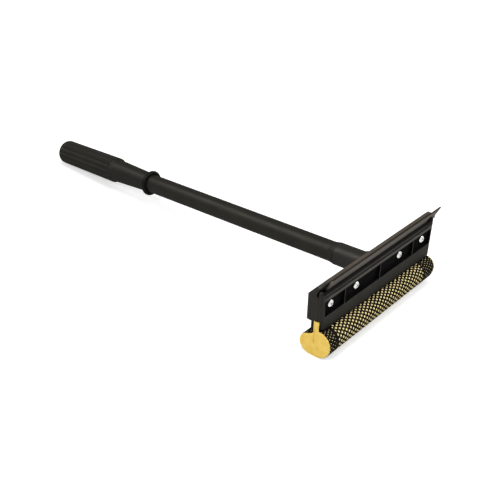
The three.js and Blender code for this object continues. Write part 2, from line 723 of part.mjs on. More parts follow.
const head = new THREE.Group();
head.position.set(0, FRONT_Y, FOOT_Z);
squeegee.add(head);
addPart(head, "rear_jaw", rearJaw(), BLACK_PLASTIC);
addPart(head, "clamp_plate", clampPlate(), BLACK_PLASTIC);
addPart(head, "blade", blade(), BLADE_RUBBER);
screwPlaces().forEach((x, i) => {
  addPart(head, `screw_${i + 1}`, screw().translate(x, 0, SCREW_HEIGHT), BRIGHT_STEEL);
});

addPart(squeegee, "foam_roll", foamRoll(), YELLOW_FOAM);
addPart(squeegee, "net_cover", netCover(), BLACK_NET);

const handle = new THREE.Group();
handle.position.set(0, FRONT_Y + HEAD_DEPTH, FOOT_Z + AXIS_HEIGHT);
handle.rotation.x = -handleSlope();
squeegee.add(handle);
addPart(handle, "handle_tube", handleTube(), BLACK_PLASTIC);
addPart(handle, "drip_ring", dripRing(), BLACK_RUBBER);
addPart(handle, "grip", grip(), BLACK_PLASTIC);

export default squeegee;
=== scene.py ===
"""Looks of the windscreen squeegee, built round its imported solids."""

import math

import bmesh
import bpy
import numpy as np
from mathutils import Matrix, Vector
from mathutils.geometry import delaunay_2d_cdt


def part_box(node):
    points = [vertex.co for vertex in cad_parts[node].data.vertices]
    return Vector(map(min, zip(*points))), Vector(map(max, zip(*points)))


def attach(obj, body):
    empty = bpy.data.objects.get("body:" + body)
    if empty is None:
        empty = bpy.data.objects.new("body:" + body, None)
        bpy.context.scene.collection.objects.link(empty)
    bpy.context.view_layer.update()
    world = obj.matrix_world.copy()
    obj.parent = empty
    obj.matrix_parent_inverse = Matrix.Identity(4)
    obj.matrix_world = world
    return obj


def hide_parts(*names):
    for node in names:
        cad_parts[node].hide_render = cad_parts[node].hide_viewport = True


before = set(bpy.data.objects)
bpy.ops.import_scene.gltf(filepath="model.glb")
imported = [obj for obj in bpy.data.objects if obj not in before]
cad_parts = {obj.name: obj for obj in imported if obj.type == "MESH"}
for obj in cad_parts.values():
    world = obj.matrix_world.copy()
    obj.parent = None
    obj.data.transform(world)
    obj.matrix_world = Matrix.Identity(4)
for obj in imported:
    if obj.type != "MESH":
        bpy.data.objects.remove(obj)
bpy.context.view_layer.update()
scene = bpy.context.scene

# Lengths are in mm; MM turns them to metres when a mesh is made.
MM = 0.001

# Head: the plate's front foot is the origin of the head's own Y and Z.
FRONT_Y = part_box("clamp_plate")[0].y / MM
FOOT_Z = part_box("clamp_plate")[0].z / MM
HALF_HEAD = 101.6
HEAD_DEPTH = 19.0
JAW_FRONT = 5.7

# Clamp plate: heights from its foot, depths from its front plane
PLATE_DEPTH = 5.4
PLATE_END_INSET = 1.2
PLATE_TAPER = 3.6
PLATE_END_SPREAD = 0.9
PLATE_END = 101.55
PLATE_FOOT_THICKNESS = 2.6
PLATE_FOOT_TOP = 11.3
PLATE_TOP = 44.3
PLATE_CORNER = 2.5
PLATE_EDGE = 1.0
SHELF = 39.6
COVE = 3.9
LIP_FRONT = 4.2
EAR_FRONT = 43.0
EAR_TOP = 48.6
EAR_CREST = 3.0
EAR_BACK = 3.54
EAR_BLEND = 6.5
END_WALL = 2.0
RECESS_LOW = 17.0
RECESS_HIGH = 36.4
RECESS_DEPTH = 4.0
RIB_HALF = 0.8
RIB_SETBACK = 0.4
RIB_PLACES = (-62.484, 0.0, 62.484)
LEDGE_START = SHELF - 1.2
LEDGE_EDGE = 0.9
LIP_GAP = 0.1
LIP_DROP = 0.6
LIP_FILLET = 0.3
END_CUT = 1.2
EDGE_RADIUS = 0.4
BACK_DROP = 1.0
CLOSING = 0.32
CLOSING_LOW = 13.0
CLOSING_HIGH = 40.3
CLOSING_RUN = 2.0

# The plate's mesh: where its rows and columns lie, and which rows take which plastic, with its painted
# shade or highlight
PLATE_MIDDLE = 24.0
PLAIN_HEIGHTS = np.array((2.5, 6, 9, 11.3, 12.7, 14.1, 16.2))
FLOOR_INSET = 2.5
WALL_STEPS = np.array((-0.4, -0.15, -0.03, 0.03, 0.09, 0.2, 0.5))
WALL_SHARES = np.array((0.0, 0.02, 0.12, 0.5, 0.88, 0.98, 1.0))
END_COLUMNS = np.array((
    0, 0.08, 0.2, 0.35, 0.5, 0.9, 1.3, 3, 3.6, 4.3, 5, 5.7, 6.4, 7.2, 8, 9, 11, 14, 18, 23
))
PLAIN_COLUMN = 4.5
PLAIN_LEFT = 27.0
PLAIN_RIGHT = 26.0
RIB_CLEAR = 2.0
FOLLOW_FROM = 6.0
FOLLOW_RUN = 16.0
EDGE_ROWS = 5
COVE_ROWS = 13
RECESS_SHADE = 0.15

# Screws
SCREW_HEIGHT = 26.9
SCREW_PLACES = (-83.66, -39.62, 39.62, 83.66)
SCREW_SEAT = 3.7
SCREW_RISE = 2.2
SCREW_HEAD_RADIUS = 4.4
SCREW_RADIUS = 1.9
SCREW_TIP = 15.0
CROSS_HALF_LENGTH = 2.2
CROSS_HALF_WIDTH = 0.6
CROSS_DEPTH = 1.35
CROSS_FLANK = 0.25
CROSS_RUNOUT = 0.5
CROSS_SLOPE = 0.5
CROSS_SHADE = 0.35
CROSS_TURNS = (0.95, 0.35, 0.7, 0.15)
SCREW_STEPS = 96
SCREW_FACE = 3.3
SCREW_FACE_RINGS = 25
SCREW_RIM = np.array((0.8, 0.86, 0.91, 0.95, 0.98, 0.995, 1))
DOME_SHARE = 0.8
DOME_SPREAD = 2.4
DOME_POWER = 0.55
SCREW_BEVEL = 0.1
SCREW_POINT = 2.0

# Blade
BLADE_LENGTH = 200.0
BLADE_MIDDLE = 12.0
BLADE_THICKNESS = 2.2
BLADE_TIP = 1.6
BLADE_ROOT = PLATE_TOP - 2.5
BLADE_BEND = PLATE_TOP + 0.5
BLADE_LEAN = math.radians(25.7)
BLADE_REACH = 14.5
BLADE_CORNER_STEPS = 4
BLADE_BEND_FILLET = 1.0
BLADE_ROOT_FILLET = 0.2
BLADE_TIP_FILLET = 0.25
BLADE_RINGS = 101

# Jaw: the rounding of its edges, and how far a face may turn from the wall's lean to count as its top,
# which takes a painted highlight
JAW_EDGE = 0.25
JAW_EDGE_STEPS = 3
JAW_EDGE_ANGLE = math.radians(32)
JAW_FLAT_ANGLE = math.radians(0.6)
RIM_FACING = 0.7

# Handle: lengths are taken along it from the jaw's back.
AXIS_HEIGHT = 26.7
NECK_RADIUS = 13.0
TUBE_START = 37.0
TUBE_END = 340.6
TUBE_RADIUS = 11.6
TUBE_BORE = 9.6
FLARE_LENGTH = 8.0
MOUTH_LENGTH = 1.2
TUBE_EDGE = 0.7
TURNED_STEPS = 96
RING_MIDDLE = 337.6
RING_RADIUS = 16.1
RING_SECTION = 2.5
RING_CLEAR = 0.15
RING_STEPS = 28
GRIP_START = 340.9
GRIP_END = 509.2
GRIP_NECK_RADIUS = 12.1
GRIP_TAPER = 58.9
GRIP_TAPER_RADIUS = 14.5
GRIP_RADIUS = 16.3
GRIP_BUTT_RADIUS = 15.6
GRIP_SHOULDER = 3.0
GRIP_EDGE = 6.0
GRIP_CROWN = 0.8
GRIP_LIP = 0.5
GRIP_LIP_BEND = 0.15
FLUTES = 16
FLUTE_DEPTH = 1.3
FLUTE_SHARE = 0.86
FLUTE_STEPS = 12
FLUTE_FROM = 1.5
FLUTE_TO = 1.0
GRIP_REST = GRIP_END - GRIP_CROWN - GRIP_EDGE
HANDLE_SLOPE = (
    math.asin((FOOT_Z + AXIS_HEIGHT) / math.hypot(GRIP_REST, GRIP_BUTT_RADIUS))
    - math.atan2(GRIP_BUTT_RADIUS, GRIP_REST)
)

# Roll: an oval with a three-lobed part, hung on a stem between two flaps of the net.
ROLL_RADIUS = 17.85
ROLL_OVAL = 0.187
ROLL_OVAL_TILT = math.radians(-28)
ROLL_LOBES = 0.072
ROLL_LOBE_TILT = math.radians(116.5)
ROLL_BACK = 7.7
ROLL_DROP = 19.0
ROLL_LEAN = 3.6
ROLL_LEFT = -101.0
ROLL_RIGHT = 98.3
FLAP_FRONT = 2.9
FLAP_BACK = 10.7
FLAP_RISE = 8.0
STEM_TOP = 11.0
STEM_INSET = 0.34
ROLL_CORNER_REACH = 3.0
ROLL_CORNER_SHARE = 1.6
FLOOR_CLEAR = 0.02
FLAP_PAST = 1.0
FLAP_RUN = 2.0

# Foam: heights and depths are taken from the net's outer line.
FOAM_SINK = 1.0
FOAM_HEM_RISE = 0.2
FOAM_LAP_SINK = 0.85
SWELL = 1.1
SWELL_SPREAD = 0.24
SWELL_WIDTH = 1.3
SWELL_POWER = 0.8
HEM_SWELL = 0.62
HEM_SWELL_SPREAD = 0.3
HEM_SWELL_WIDTH = 1.25
WAIST = 0.6
WAIST_FROM = 0.4
WAIST_RUN = 0.8
BRIM_SINK = 0.12
BRIM_LAP = 0.1
BRIM_RUN = 0.5
SCALLOP = 4.75
SCALLOP_DEPTH = 0.75
SCALLOP_FROM = 1.0
SCALLOP_RISE = 3.0
SCALLOP_PAST = 4.0
SCALLOP_FALL = 6.0
END_ROUND = 0.45
END_ROUND_RUN = 0.55
FOAM_AROUND = 268
FOAM_COLUMN = 0.56
FOAM_INNER_LEFT = 2.0
FOAM_INNER_RIGHT = 1.8
FOAM_END_COLUMNS = np.array((0.0, 0.1, 0.25, 0.5, 0.75, 0.95, 1.1, 1.25, 1.5))

# The foam's cut ends: a slight bulge with ripples, and an upright crease
FACE_STEP = 0.75
FACE_ROW = 0.87
FACE_JITTER = 0.1
FACE_CLEAR = 0.4
FACE_BULGE = 0.5
FACE_BULGE_RUN = 2.0
RIPPLE = 0.08
CREASE_Y = 9.5
CREASE_TOP = -1.0
CREASE_FOOT = -22.0
CREASE_RUN = 5.0
CREASE_DEPTH = 1.7
CREASE_WIDTH = 0.5
CREASE_CLEAR = 1.6
CREASE_BEFORE = 4.0
CREASE_PAST = 6.0
CREASE_ROW = 0.6
CREASE_OFFSETS = (-1.2, -0.7, -0.3, 0, 0.3, 0.7, 1.2)

# Net: its gaps sit on a slanted lattice, along the roll and round it.
GAP_ACROSS = np.array((7.12, 0.62))
GAP_SLANT = np.array((-3.38, 2.0))
GAP_HALF_WIDTH = 1.24
GAP_HALF_HEIGHT = 1.14
NET_THICKNESS = 0.95
NET_DRAWN = 4.5
NET_DRAWN_FROM = 11.0
NET_DRAWN_RUN = 26.0
NET_END = 1.2
HEM_LEFT = 16.0
HEM_RIGHT = 23.0
HEM_THICKNESS = 0.6
HEM_LAP = 3.0
HEM_SCALE = 0.82
HEM_HALF_WIDTH = 0.62
HEM_HALF_HEIGHT = 0.52
HEM_CROWN = 0.1
HEM_STEP = 0.8
NET_FIRST_GAP = 3.0
CELL_POINTS = 12
CELL_SIDE_POINTS = CELL_POINTS // 4
CELL_REACH_X = 4.0
CELL_REACH_S = 3.0
KNOT = 0.06
GAP_SIZE = 0.92
GAP_SIZE_SPREAD = 0.16
FLAP_SHRINK = 0.65
FLAP_SHRINK_PAST = 2.0
FLAP_THIN = 0.7
FLAP_END = 0.35
FLAP_END_RUN = 3.0

# How near points are joined in meshes, and how near a cut they count as on it
WELD = 0.0005
SOLID_WELD = 0.004
NET_WELD = 0.002
CUT_NEAR = 1e-5
CUT_RIM = 1e-4

RNG = np.random.default_rng(20)


# Numbers

def unit(value):
    """A value held between 0 and 1."""
    return np.clip(value, 0, 1)


def soft_step(value):
    """A smooth step from 0 to 1 while the value goes from 0 to 1."""
    value = unit(value)
    return value * value * (3 - 2 * value)


def circle(steps):
    """Angles once round."""
    return np.linspace(0, 2 * math.pi, steps, endpoint=False)


# Meshes

def make_piece(name, points, faces, material):
    """An object from points in mm."""
    mesh = bpy.data.meshes.new(name)
    mesh.from_pydata((np.asarray(points, float) * MM).tolist(), [], faces)
    return place_mesh(name, mesh, material)


def place_mesh(name, mesh, material):
    """A smooth-shaded object from a mesh in metres."""
    mesh.polygons.foreach_set("use_smooth", [True] * len(mesh.polygons))
    mesh.materials.clear()
    mesh.materials.append(material)
    piece = bpy.data.objects.new(name, mesh)
    scene.collection.objects.link(piece)
    return piece


def stand_for(piece, body, slot, *nodes):
    """The piece moves with the body, in place of the named solids."""
    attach(piece, body)
    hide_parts(*nodes)
    return piece


def even_normals(piece):
    """Keeps flat faces flat beside narrow rounded edges."""
    keep = piece.modifiers.new("even normals", "WEIGHTED_NORMAL")
    keep.keep_sharp = True
    return piece


def filleted(points, radius, steps=4, closed=False):
    """A path in the plane with its corners rounded, by one radius or one for each corner.

    A corner takes less than half of each side beside it.
    """
    most = 0.45
    points = [np.array(p, float) for p in points]
    radii = np.broadcast_to(radius, len(points))
    last = len(points) - 1
    path = []
    for i, corner in enumerate(points):
        if not closed and i in (0, last):
            path.append(corner)
            continue
        before = points[i - 1] - corner
        after = points[(i + 1) % len(points)] - corner
        reach = min(radii[i], most * np.linalg.norm(before), most * np.linalg.norm(after))
        start = corner + before / np.linalg.norm(before) * reach
        end = corner + after / np.linalg.norm(after) * reach
        for t in np.linspace(0, 1, steps + 1):
            path.append((1 - t) ** 2 * start + 2 * t * (1 - t) * corner + t ** 2 * end)
    return np.array(path)


def loft(rings, close_ends=False):
    """Points and faces of closed rings of equal length; the last ring may join the first."""
    count, around = rings.shape[:2]
    faces = []
    for i in range(count if close_ends else count - 1):
        for k in range(around):
            ring, following = i * around, (i + 1) % count * around
            beside = (k + 1) % around
            faces.append((ring + k, ring + beside, following + beside, following + k))
    return rings.reshape(-1, 3), faces


def handle_point(along, across, up):
    """A point by the handle's own axes, in mm in the shared frame."""
    sin, cos = math.sin(HANDLE_SLOPE), math.cos(HANDLE_SLOPE)
    y = FRONT_Y + HEAD_DEPTH + along * cos + up * sin
    z = FOOT_Z + AXIS_HEIGHT - along * sin + up * cos
    return np.stack([across + 0 * y, y, z], -1)


def turned(name, profile, material):
    """A hollow piece turned round the handle's axis from a closed outline of (along, radius) points."""
    angles = circle(TURNED_STEPS)
    along, radius = profile[:, 0, None], profile[:, 1, None]
    rings = handle_point(along + 0 * angles, radius * np.cos(angles), radius * np.sin(angles))
    return make_piece(name, *loft(rings, close_ends=True), material)


def outward(piece):
    """Turns all faces of a closed mesh outward."""
    shape = bmesh.new()
    shape.from_mesh(piece.data)
    bmesh.ops.remove_doubles(shape, verts=shape.verts, dist=WELD * MM)
    bmesh.ops.recalc_face_normals(shape, faces=shape.faces)
    shape.to_mesh(piece.data)
    shape.free()
    return piece


# Materials

COAT_IOR = 2.0
ALONG_HEAD = (0.12, 1, 1)
ALONG_HANDLE = (1, 0.1, 1)
ALONG_BLADE = (0.03, 1, 1)
DUST_STRETCH = (0.3, 1, 1)
ALONG_YARN = (1, 0.25, 0.25)
# Length beside the head's left end over which a painted highlight fades out
HIGHLIGHT_FADE_RUN = 17.0
FOAM_BASE = (0.80, 0.55, 0.12)
FOAM_TONES = ((0.25, (0.80, 0.53, 0.105)), (0.5, (0.86, 0.60, 0.137)), (0.8, (0.90, 0.66, 0.195)))
# Foam colour where it swells through the net: partly its own stretched paleness, partly a painted highlight
FOAM_TIP_PALE_AND_LIT = (0.98, 0.86, 0.46)
# Painted shade in the foam's pores, multiplied into its colour
PORE_SHADE_TONES = ((0.1, (0.82, 0.79, 0.72)), (0.42, (1, 1, 1)))
PORE_SHADE_SHARE = 0.8


def new_node(tree, kind, values, links, **options):
    """A node with its options, then numbers on its sockets, then other nodes' outputs linked to it."""
    node = tree.nodes.new("ShaderNode" + kind)
    for name, option in options.items():
        setattr(node, name, option)
    for socket, value in values.items():
        node.inputs[socket].default_value = value
    for socket, output in links.items():
        tree.links.new(output, node.inputs[socket])
    return node


def own_place(tree):
    """The object's own coordinates, in metres."""
    return new_node(tree, "TexCoord", {}, {}).outputs["Object"]


def new_material(name, colour, roughness, shine):
    """A material whose gloss is a thin coat: its edges stay dark, as on a finely grained surface."""
    material = bpy.data.materials.new(name)
    material.use_nodes = True
    tree = material.node_tree
    sockets = tree.nodes["Principled BSDF"].inputs
    sockets["Base Color"].default_value = (*colour, 1)
    sockets["Roughness"].default_value = roughness
    sockets["Specular IOR Level"].default_value = 0
    sockets["Coat Weight"].default_value = shine
    sockets["Coat Roughness"].default_value = roughness
    sockets["Coat IOR"].default_value = COAT_IOR
    return material, tree, sockets, own_place(tree)


def dress(tree, sockets, tone, normal, rough=None):
    """Links a material's colour, normal and roughness, on its body and on its coat if it has one."""
    ends = {"Base Color": tone, "Normal": normal}
    if rough:
        ends["Roughness"] = rough
    if sockets["Coat Weight"].default_value > 0:
        ends["Coat Normal"] = normal
        ends["Coat Roughness"] = rough
    for socket, output in ends.items():
        tree.links.new(output, sockets[socket])


def noise(tree, place, scale, detail, stretch=None):
    """A noise texture; scale is in cells per metre."""
    if stretch:
        place = new_node(tree, "Mapping", {"Scale": stretch}, {"Vector": place}).outputs["Vector"]
    return new_node(tree, "TexNoise", {"Scale": scale, "Detail": detail}, {"Vector": place}).outputs["Fac"]


def ramp(tree, value, stops):
    """Colours by a value; stops are (position, colour)."""
    node = new_node(tree, "ValToRGB", {}, {"Fac": value})
    while len(node.color_ramp.elements) < len(stops):
        node.color_ramp.elements.new(0.5)
    for element, (position, colour) in zip(node.color_ramp.elements, stops):
        element.position = position
        element.color = (*colour, 1)
    return node.outputs["Color"]


def spread(tree, value, low, high, start=0.25, end=0.75, way="LINEAR"):
    """Takes a value's range from start to end to the range from low to high."""
    ranges = {"From Min": start, "From Max": end, "To Min": low, "To Max": high}
    return new_node(tree, "MapRange", ranges, {"Value": value}, interpolation_type=way).outputs["Result"]


def bump(tree, height, distance, strength, below=None):
    """A normal raised by a height, over another normal where one is given."""
    links = {"Height": height, "Normal": below} if below else {"Height": height}
    return new_node(tree, "Bump", {"Distance": distance, "Strength": strength}, links).outputs["Normal"]


def mixed(tree, share, first, second):
    """A colour that passes from the first, a socket, to the second by a share."""
    links = {"Factor": share, "A": first}
    return new_node(tree, "Mix", {"B": (*second, 1)}, links, data_type="RGBA").outputs["Result"]


def left_end(tree, place):
    """1 at the head's left end, falling to 0 over the stretch beside it where a painted highlight fades
    out.
    """
    x = new_node(tree, "SeparateXYZ", {}, {"Vector": place}).outputs["X"]
    return spread(tree, x, 1, 0, -HALF_HEAD * MM, (HIGHLIGHT_FADE_RUN - HALF_HEAD) * MM, "SMOOTHSTEP")


def plastic(name, colour, light, roughness, shine, streak=ALONG_HEAD, unhighlighted=None):
    """Black moulded plastic: faint mottling, fine grain, and handling marks along one axis.

    A plastic with a painted highlight gives its colour without it too, to which it passes at the head's
    left end.
    """
    material, tree, sockets, place = new_material(name, colour, roughness, shine)
    patches = noise(tree, place, scale=38, detail=5)
    tone = ramp(tree, patches, ((0.3, colour), (0.72, light)))
    # Painted highlight: the colour passes to the one without it at the head's left end
    if unhighlighted:
        tone = mixed(tree, left_end(tree, place), tone, unhighlighted)
    marks = noise(tree, place, scale=260, detail=3, stretch=streak)
    rough = spread(tree, marks, roughness - 0.06, roughness + 0.08)
    grain = bump(tree, noise(tree, place, scale=2600, detail=2), distance=0.00004, strength=0.5)
    dress(tree, sockets, tone, bump(tree, marks, distance=0.00003, strength=0.5, below=grain), rough)
    return material


def rubber(name, colour, light, roughness, shine):
    """Rubber: matt, with dusty patches and fine lines from its extrusion along X."""
    material, tree, sockets, place = new_material(name, colour, roughness, shine)
    lines = noise(tree, place, scale=900, detail=3, stretch=ALONG_BLADE)
    dust = noise(tree, place, scale=60, detail=6, stretch=DUST_STRETCH)
    tone = ramp(tree, dust, ((0.3, colour), (0.75, light)))
    rough = spread(tree, lines, roughness - 0.08, roughness + 0.08)
    dress(tree, sockets, tone, bump(tree, lines, distance=0.00005, strength=0.6), rough)
    return material


def foam_material():
    """Open-cell foam: pores of two sizes with painted shade in them, deeper and paler patches, and palest
    where it swells from the net, partly its own stretched paleness and partly a painted highlight.
    """
    material, tree, sockets, place = new_material("yellow foam", FOAM_BASE, roughness=0.92, shine=0)
    tone = ramp(tree, noise(tree, place, scale=150, detail=6), FOAM_TONES)
    # The tip attribute pales the swelling foam: partly its own stretched paleness, partly a painted
    # highlight
    tip = new_node(tree, "Attribute", {}, {}, attribute_name="tip")
    tone = mixed(tree, tip.outputs["Fac"], tone, FOAM_TIP_PALE_AND_LIT)
    cells = new_node(tree, "TexVoronoi", {"Scale": 1500}, {"Vector": place}).outputs["Distance"]
    # Painted shade in the pores, multiplied into the colour
    both = {"A": tone, "B": ramp(tree, cells, PORE_SHADE_TONES)}
    pored = new_node(tree, "Mix", {"Factor": PORE_SHADE_SHARE}, both, data_type="RGBA", blend_type="MULTIPLY")
    coarse = bump(tree, noise(tree, place, scale=420, detail=5), distance=0.0003, strength=0.5)
    fine = bump(tree, cells, distance=0.00022, strength=0.7, below=coarse)
    dress(tree, sockets, pored.outputs["Result"], fine)
    return material


def net_material(dark, light):
    """Black yarn: fine filaments with a faint shine."""
    material, tree, sockets, place = new_material("black net", dark, roughness=0.5, shine=0.05)
    fibres = noise(tree, place, scale=2400, detail=3, stretch=ALONG_YARN)
    tone = ramp(tree, fibres, ((0.3, dark), (0.75, light)))
    rough = spread(tree, fibres, 0.42, 0.62)
    dress(tree, sockets, tone, bump(tree, fibres, distance=0.00018, strength=0.8), rough)
    return material


def steel_material(name, dark, light):
    """Plated steel with fine turning marks."""
    material, tree, sockets, place = new_material(name, dark, roughness=0.22, shine=0)
    sockets["Metallic"].default_value = 1
    marks = noise(tree, place, scale=1800, detail=4)
    tone = ramp(tree, marks, ((0.3, dark), (0.7, light)))
    rough = spread(tree, marks, 0.16, 0.3)
    dress(tree, sockets, tone, bump(tree, marks, distance=0.00003, strength=0.4), rough)
    return material


HEAD_PLASTIC = plastic(
    "head plastic", (0.012, 0.0104, 0.0076), (0.021, 0.0185, 0.0136), roughness=0.40, shine=0.12
)
# Painted shade: a darker copy of the head's plastic, for the whole jaw and the plate's end faces, to darken
# the ends that face the left
JAW_SHADE_PLASTIC = plastic(
    "jaw plastic with painted shade", (0.009, 0.0081, 0.006), (0.0165, 0.0147, 0.011), roughness=0.42, shine=0.11
)
# Painted shade for the upper cove and lip, under the blade's overhang
COVE_SHADE_PLASTIC = plastic(
    "cove plastic with painted shade", (0.0045, 0.0042, 0.0035), (0.0085, 0.0076, 0.0062), roughness=0.3, shine=0.05
)
# Painted shade for the recess's floor and its deeper walls
RECESS_SHADE_PLASTIC = plastic(
    "recess plastic with painted shade", (0.003, 0.003, 0.0031), (0.006, 0.0056, 0.0055), roughness=0.5, shine=0.02
)
HANDLE_PLASTIC = plastic(
    "handle plastic", (0.0062, 0.0056, 0.0037), (0.0115, 0.0104, 0.0066),
    roughness=0.44, shine=0.1, streak=ALONG_HANDLE,
)
RING_RUBBER = rubber(
    "ring rubber", (0.004, 0.004, 0.0036), (0.009, 0.008, 0.007), roughness=0.45, shine=0.05
)
# Painted highlight on the ledge's front edge, where light from above falls on it
LEDGE_HIGHLIGHT_PLASTIC = plastic(
    "ledge plastic with painted highlight", (0.045, 0.042, 0.036), (0.072, 0.067, 0.058),
    roughness=0.38, shine=0.14, unhighlighted=(0.014, 0.0125, 0.0095),
)
# Painted shade for the blade's tip faces
TIP_SHADE_RUBBER = rubber(
    "blade tip rubber with painted shade", (0.014, 0.012, 0.009), (0.026, 0.022, 0.017), roughness=0.55, shine=0.06
)
# Painted highlight for the top of the jaw's leaning wall, fading out at the head's left end
RIM_HIGHLIGHT_PLASTIC = plastic(
    "rim plastic with painted highlight", (0.039, 0.031, 0.022), (0.070, 0.056, 0.041),
    roughness=0.42, shine=0.12, unhighlighted=(0.0125, 0.0112, 0.0083),
)
BLADE_RUBBER = rubber(
    "blade rubber", (0.112, 0.102, 0.090), (0.158, 0.144, 0.128), roughness=0.6, shine=0.12
)
FOAM = foam_material()
NET = net_material((0.0022, 0.0019, 0.0012), (0.0075, 0.0064, 0.0040))
STEEL = steel_material("bright steel", (0.52, 0.52, 0.51), (0.70, 0.70, 0.69))
# Painted shade for the faces deep in the screws' cross
CROSS_SHADE_STEEL = steel_material("steel with painted shade in the cross", (0.08, 0.08, 0.08), (0.2, 0.2, 0.2))


# Camera, floor and light; places are in metres, and the sensor, the lens and the floor's half in mm.

SENSOR = 36
LENS = 72.17
CLIP_END = 20
CAMERA_PLACE = (-0.76574, -0.48475, 0.66697)
CAMERA_RIGHT = (0.66244, -0.74880, 0.02175)
CAMERA_UP = (0.39897, 0.37723, 0.83579)
CAMERA_BACK = (-0.63404, -0.54498, 0.54863)
FLOOR_HALF = 4000
FLOOR_COLOUR = (0.80, 0.80, 0.80, 1)
FLOOR_GLOW = 0.5
FAR_GLOW = 1
GLOW_FROM = 0.9
GLOW_TO = 2.2
WHITE = (1, 1, 1, 1)
FILL = 0.36


def look_through_photo():
    """The camera at the photograph's place."""
    camera = bpy.data.objects.new("camera", bpy.data.cameras.new("camera"))
    camera.data.sensor_width = SENSOR
    camera.data.lens = LENS
    camera.data.clip_end = CLIP_END
    turn = Matrix((CAMERA_RIGHT, CAMERA_UP, CAMERA_BACK)).transposed().to_4x4()
    camera.matrix_world = Matrix.Translation(CAMERA_PLACE) @ turn
    scene.collection.objects.link(camera)
    scene.camera = camera


def seen_directly(tree):
    """1 for rays from the camera and for mirrored or passed rays, 0 for light that spreads."""
    path = new_node(tree, "LightPath", {}, {})
    total = path.outputs["Is Camera Ray"]
    for name in ("Is Glossy Ray", "Is Transmission Ray"):
        most = new_node(tree, "Math", {}, {0: total, 1: path.outputs[name]}, operation="MAXIMUM")
        total = most.outputs[0]
    return total


def lay_floor():
    """A pale floor that shows whiter away from the object, so that it has no edge against the world."""
    material = bpy.data.materials.new("pale floor")
    material.use_nodes = True
    tree = material.node_tree
    tree.nodes.remove(tree.nodes["Principled BSDF"])
    matt = new_node(tree, "BsdfDiffuse", {"Color": FLOOR_COLOUR}, {})
    away = new_node(tree, "VectorMath", {}, {0: own_place(tree)}, operation="LENGTH").outputs["Value"]
    tone = spread(tree, away, FLOOR_GLOW, FAR_GLOW, GLOW_FROM, GLOW_TO, "SMOOTHSTEP")
    glow = new_node(tree, "Emission", {}, {"Color": tone, "Strength": seen_directly(tree)})
    both = new_node(tree, "AddShader", {}, {0: matt.outputs[0], 1: glow.outputs[0]})
    tree.links.new(both.outputs[0], tree.nodes["Material Output"].inputs["Surface"])
    corners = [(x * FLOOR_HALF, y * FLOOR_HALF, 0) for x, y in ((-1, -1), (1, -1), (1, 1), (-1, 1))]
    floor = make_piece("floor", corners, [(0, 1, 2, 3)], material)


def light_world():
    """A world that shows white and gives a weaker fill light."""
    world = bpy.data.worlds.new("white room")
    scene.world = world
    world.use_nodes = True
    tree = world.node_tree
    shown = tree.nodes["Background"]
    shown.inputs["Color"].default_value = WHITE
    fill = new_node(tree, "Background", {"Color": WHITE, "Strength": FILL}, {})
    parts = {0: seen_directly(tree), 1: fill.outputs[0], 2: shown.outputs[0]}
    mix = new_node(tree, "MixShader", {}, parts)
    tree.links.new(mix.outputs[0], tree.nodes["World Output"].inputs["Surface"])


def hang_lamp(name, place, target, width, height, power, colour=(1, 1, 1)):
    """A rectangular lamp turned to its target."""
    lamp = bpy.data.objects.new(name, bpy.data.lights.new(name, "AREA"))
    lamp.data.shape = "RECTANGLE"
    lamp.data.size = width
    lamp.data.size_y = height
    lamp.data.energy = power
    lamp.data.color = colour
    lamp.location = place
    aim = Vector(target) - Vector(place)
    lamp.rotation_euler = aim.to_track_quat("-Z", "Y").to_euler()
    scene.collection.objects.link(lamp)
    return lamp


look_through_photo()
lay_floor()
light_world()
hang_lamp("overhead", place=(-0.25, -0.05, 1.7), target=(0, 0.15, 0.03), width=0.8, height=0.8, power=13)
hang_lamp("left", place=(-1.2, 0.12, 1.1), target=(0, 0.0, 0.03), width=0.6, height=0.6, power=9)
hang_lamp("right front", place=(0.85, -0.7, 1.0), target=(0, 0.0, 0.05), width=0.6, height=0.6, power=7.5)
strip = hang_lamp(
    "back", place=(-0.7, 1.25, 1.5), target=(0, 0.2, 0.05), width=1.5, height=0.35, power=28,
    colour=(1, 0.93, 0.82),
)
strip.visible_diffuse = False
scene.view_settings.view_transform = "Standard"


# The roll's path: down the front flap, round the roll and up the back flap

def roll_radius(angle):
    """The roll's radius at an angle round its middle."""
    oval = ROLL_OVAL * np.cos(2 * (angle - ROLL_OVAL_TILT))
    lobes = ROLL_LOBES * np.cos(3 * (angle - ROLL_LOBE_TILT))
    return ROLL_RADIUS * (1 + oval + lobes)


def angle_at(y, low, high):
    """The angle between two at which the roll's outline passes y, from its middle."""
    angles = np.linspace(low, high, RollPath.SEARCH_STEPS)
    return angles[np.argmin(np.abs(roll_radius(angles) * np.cos(angles) - y))]


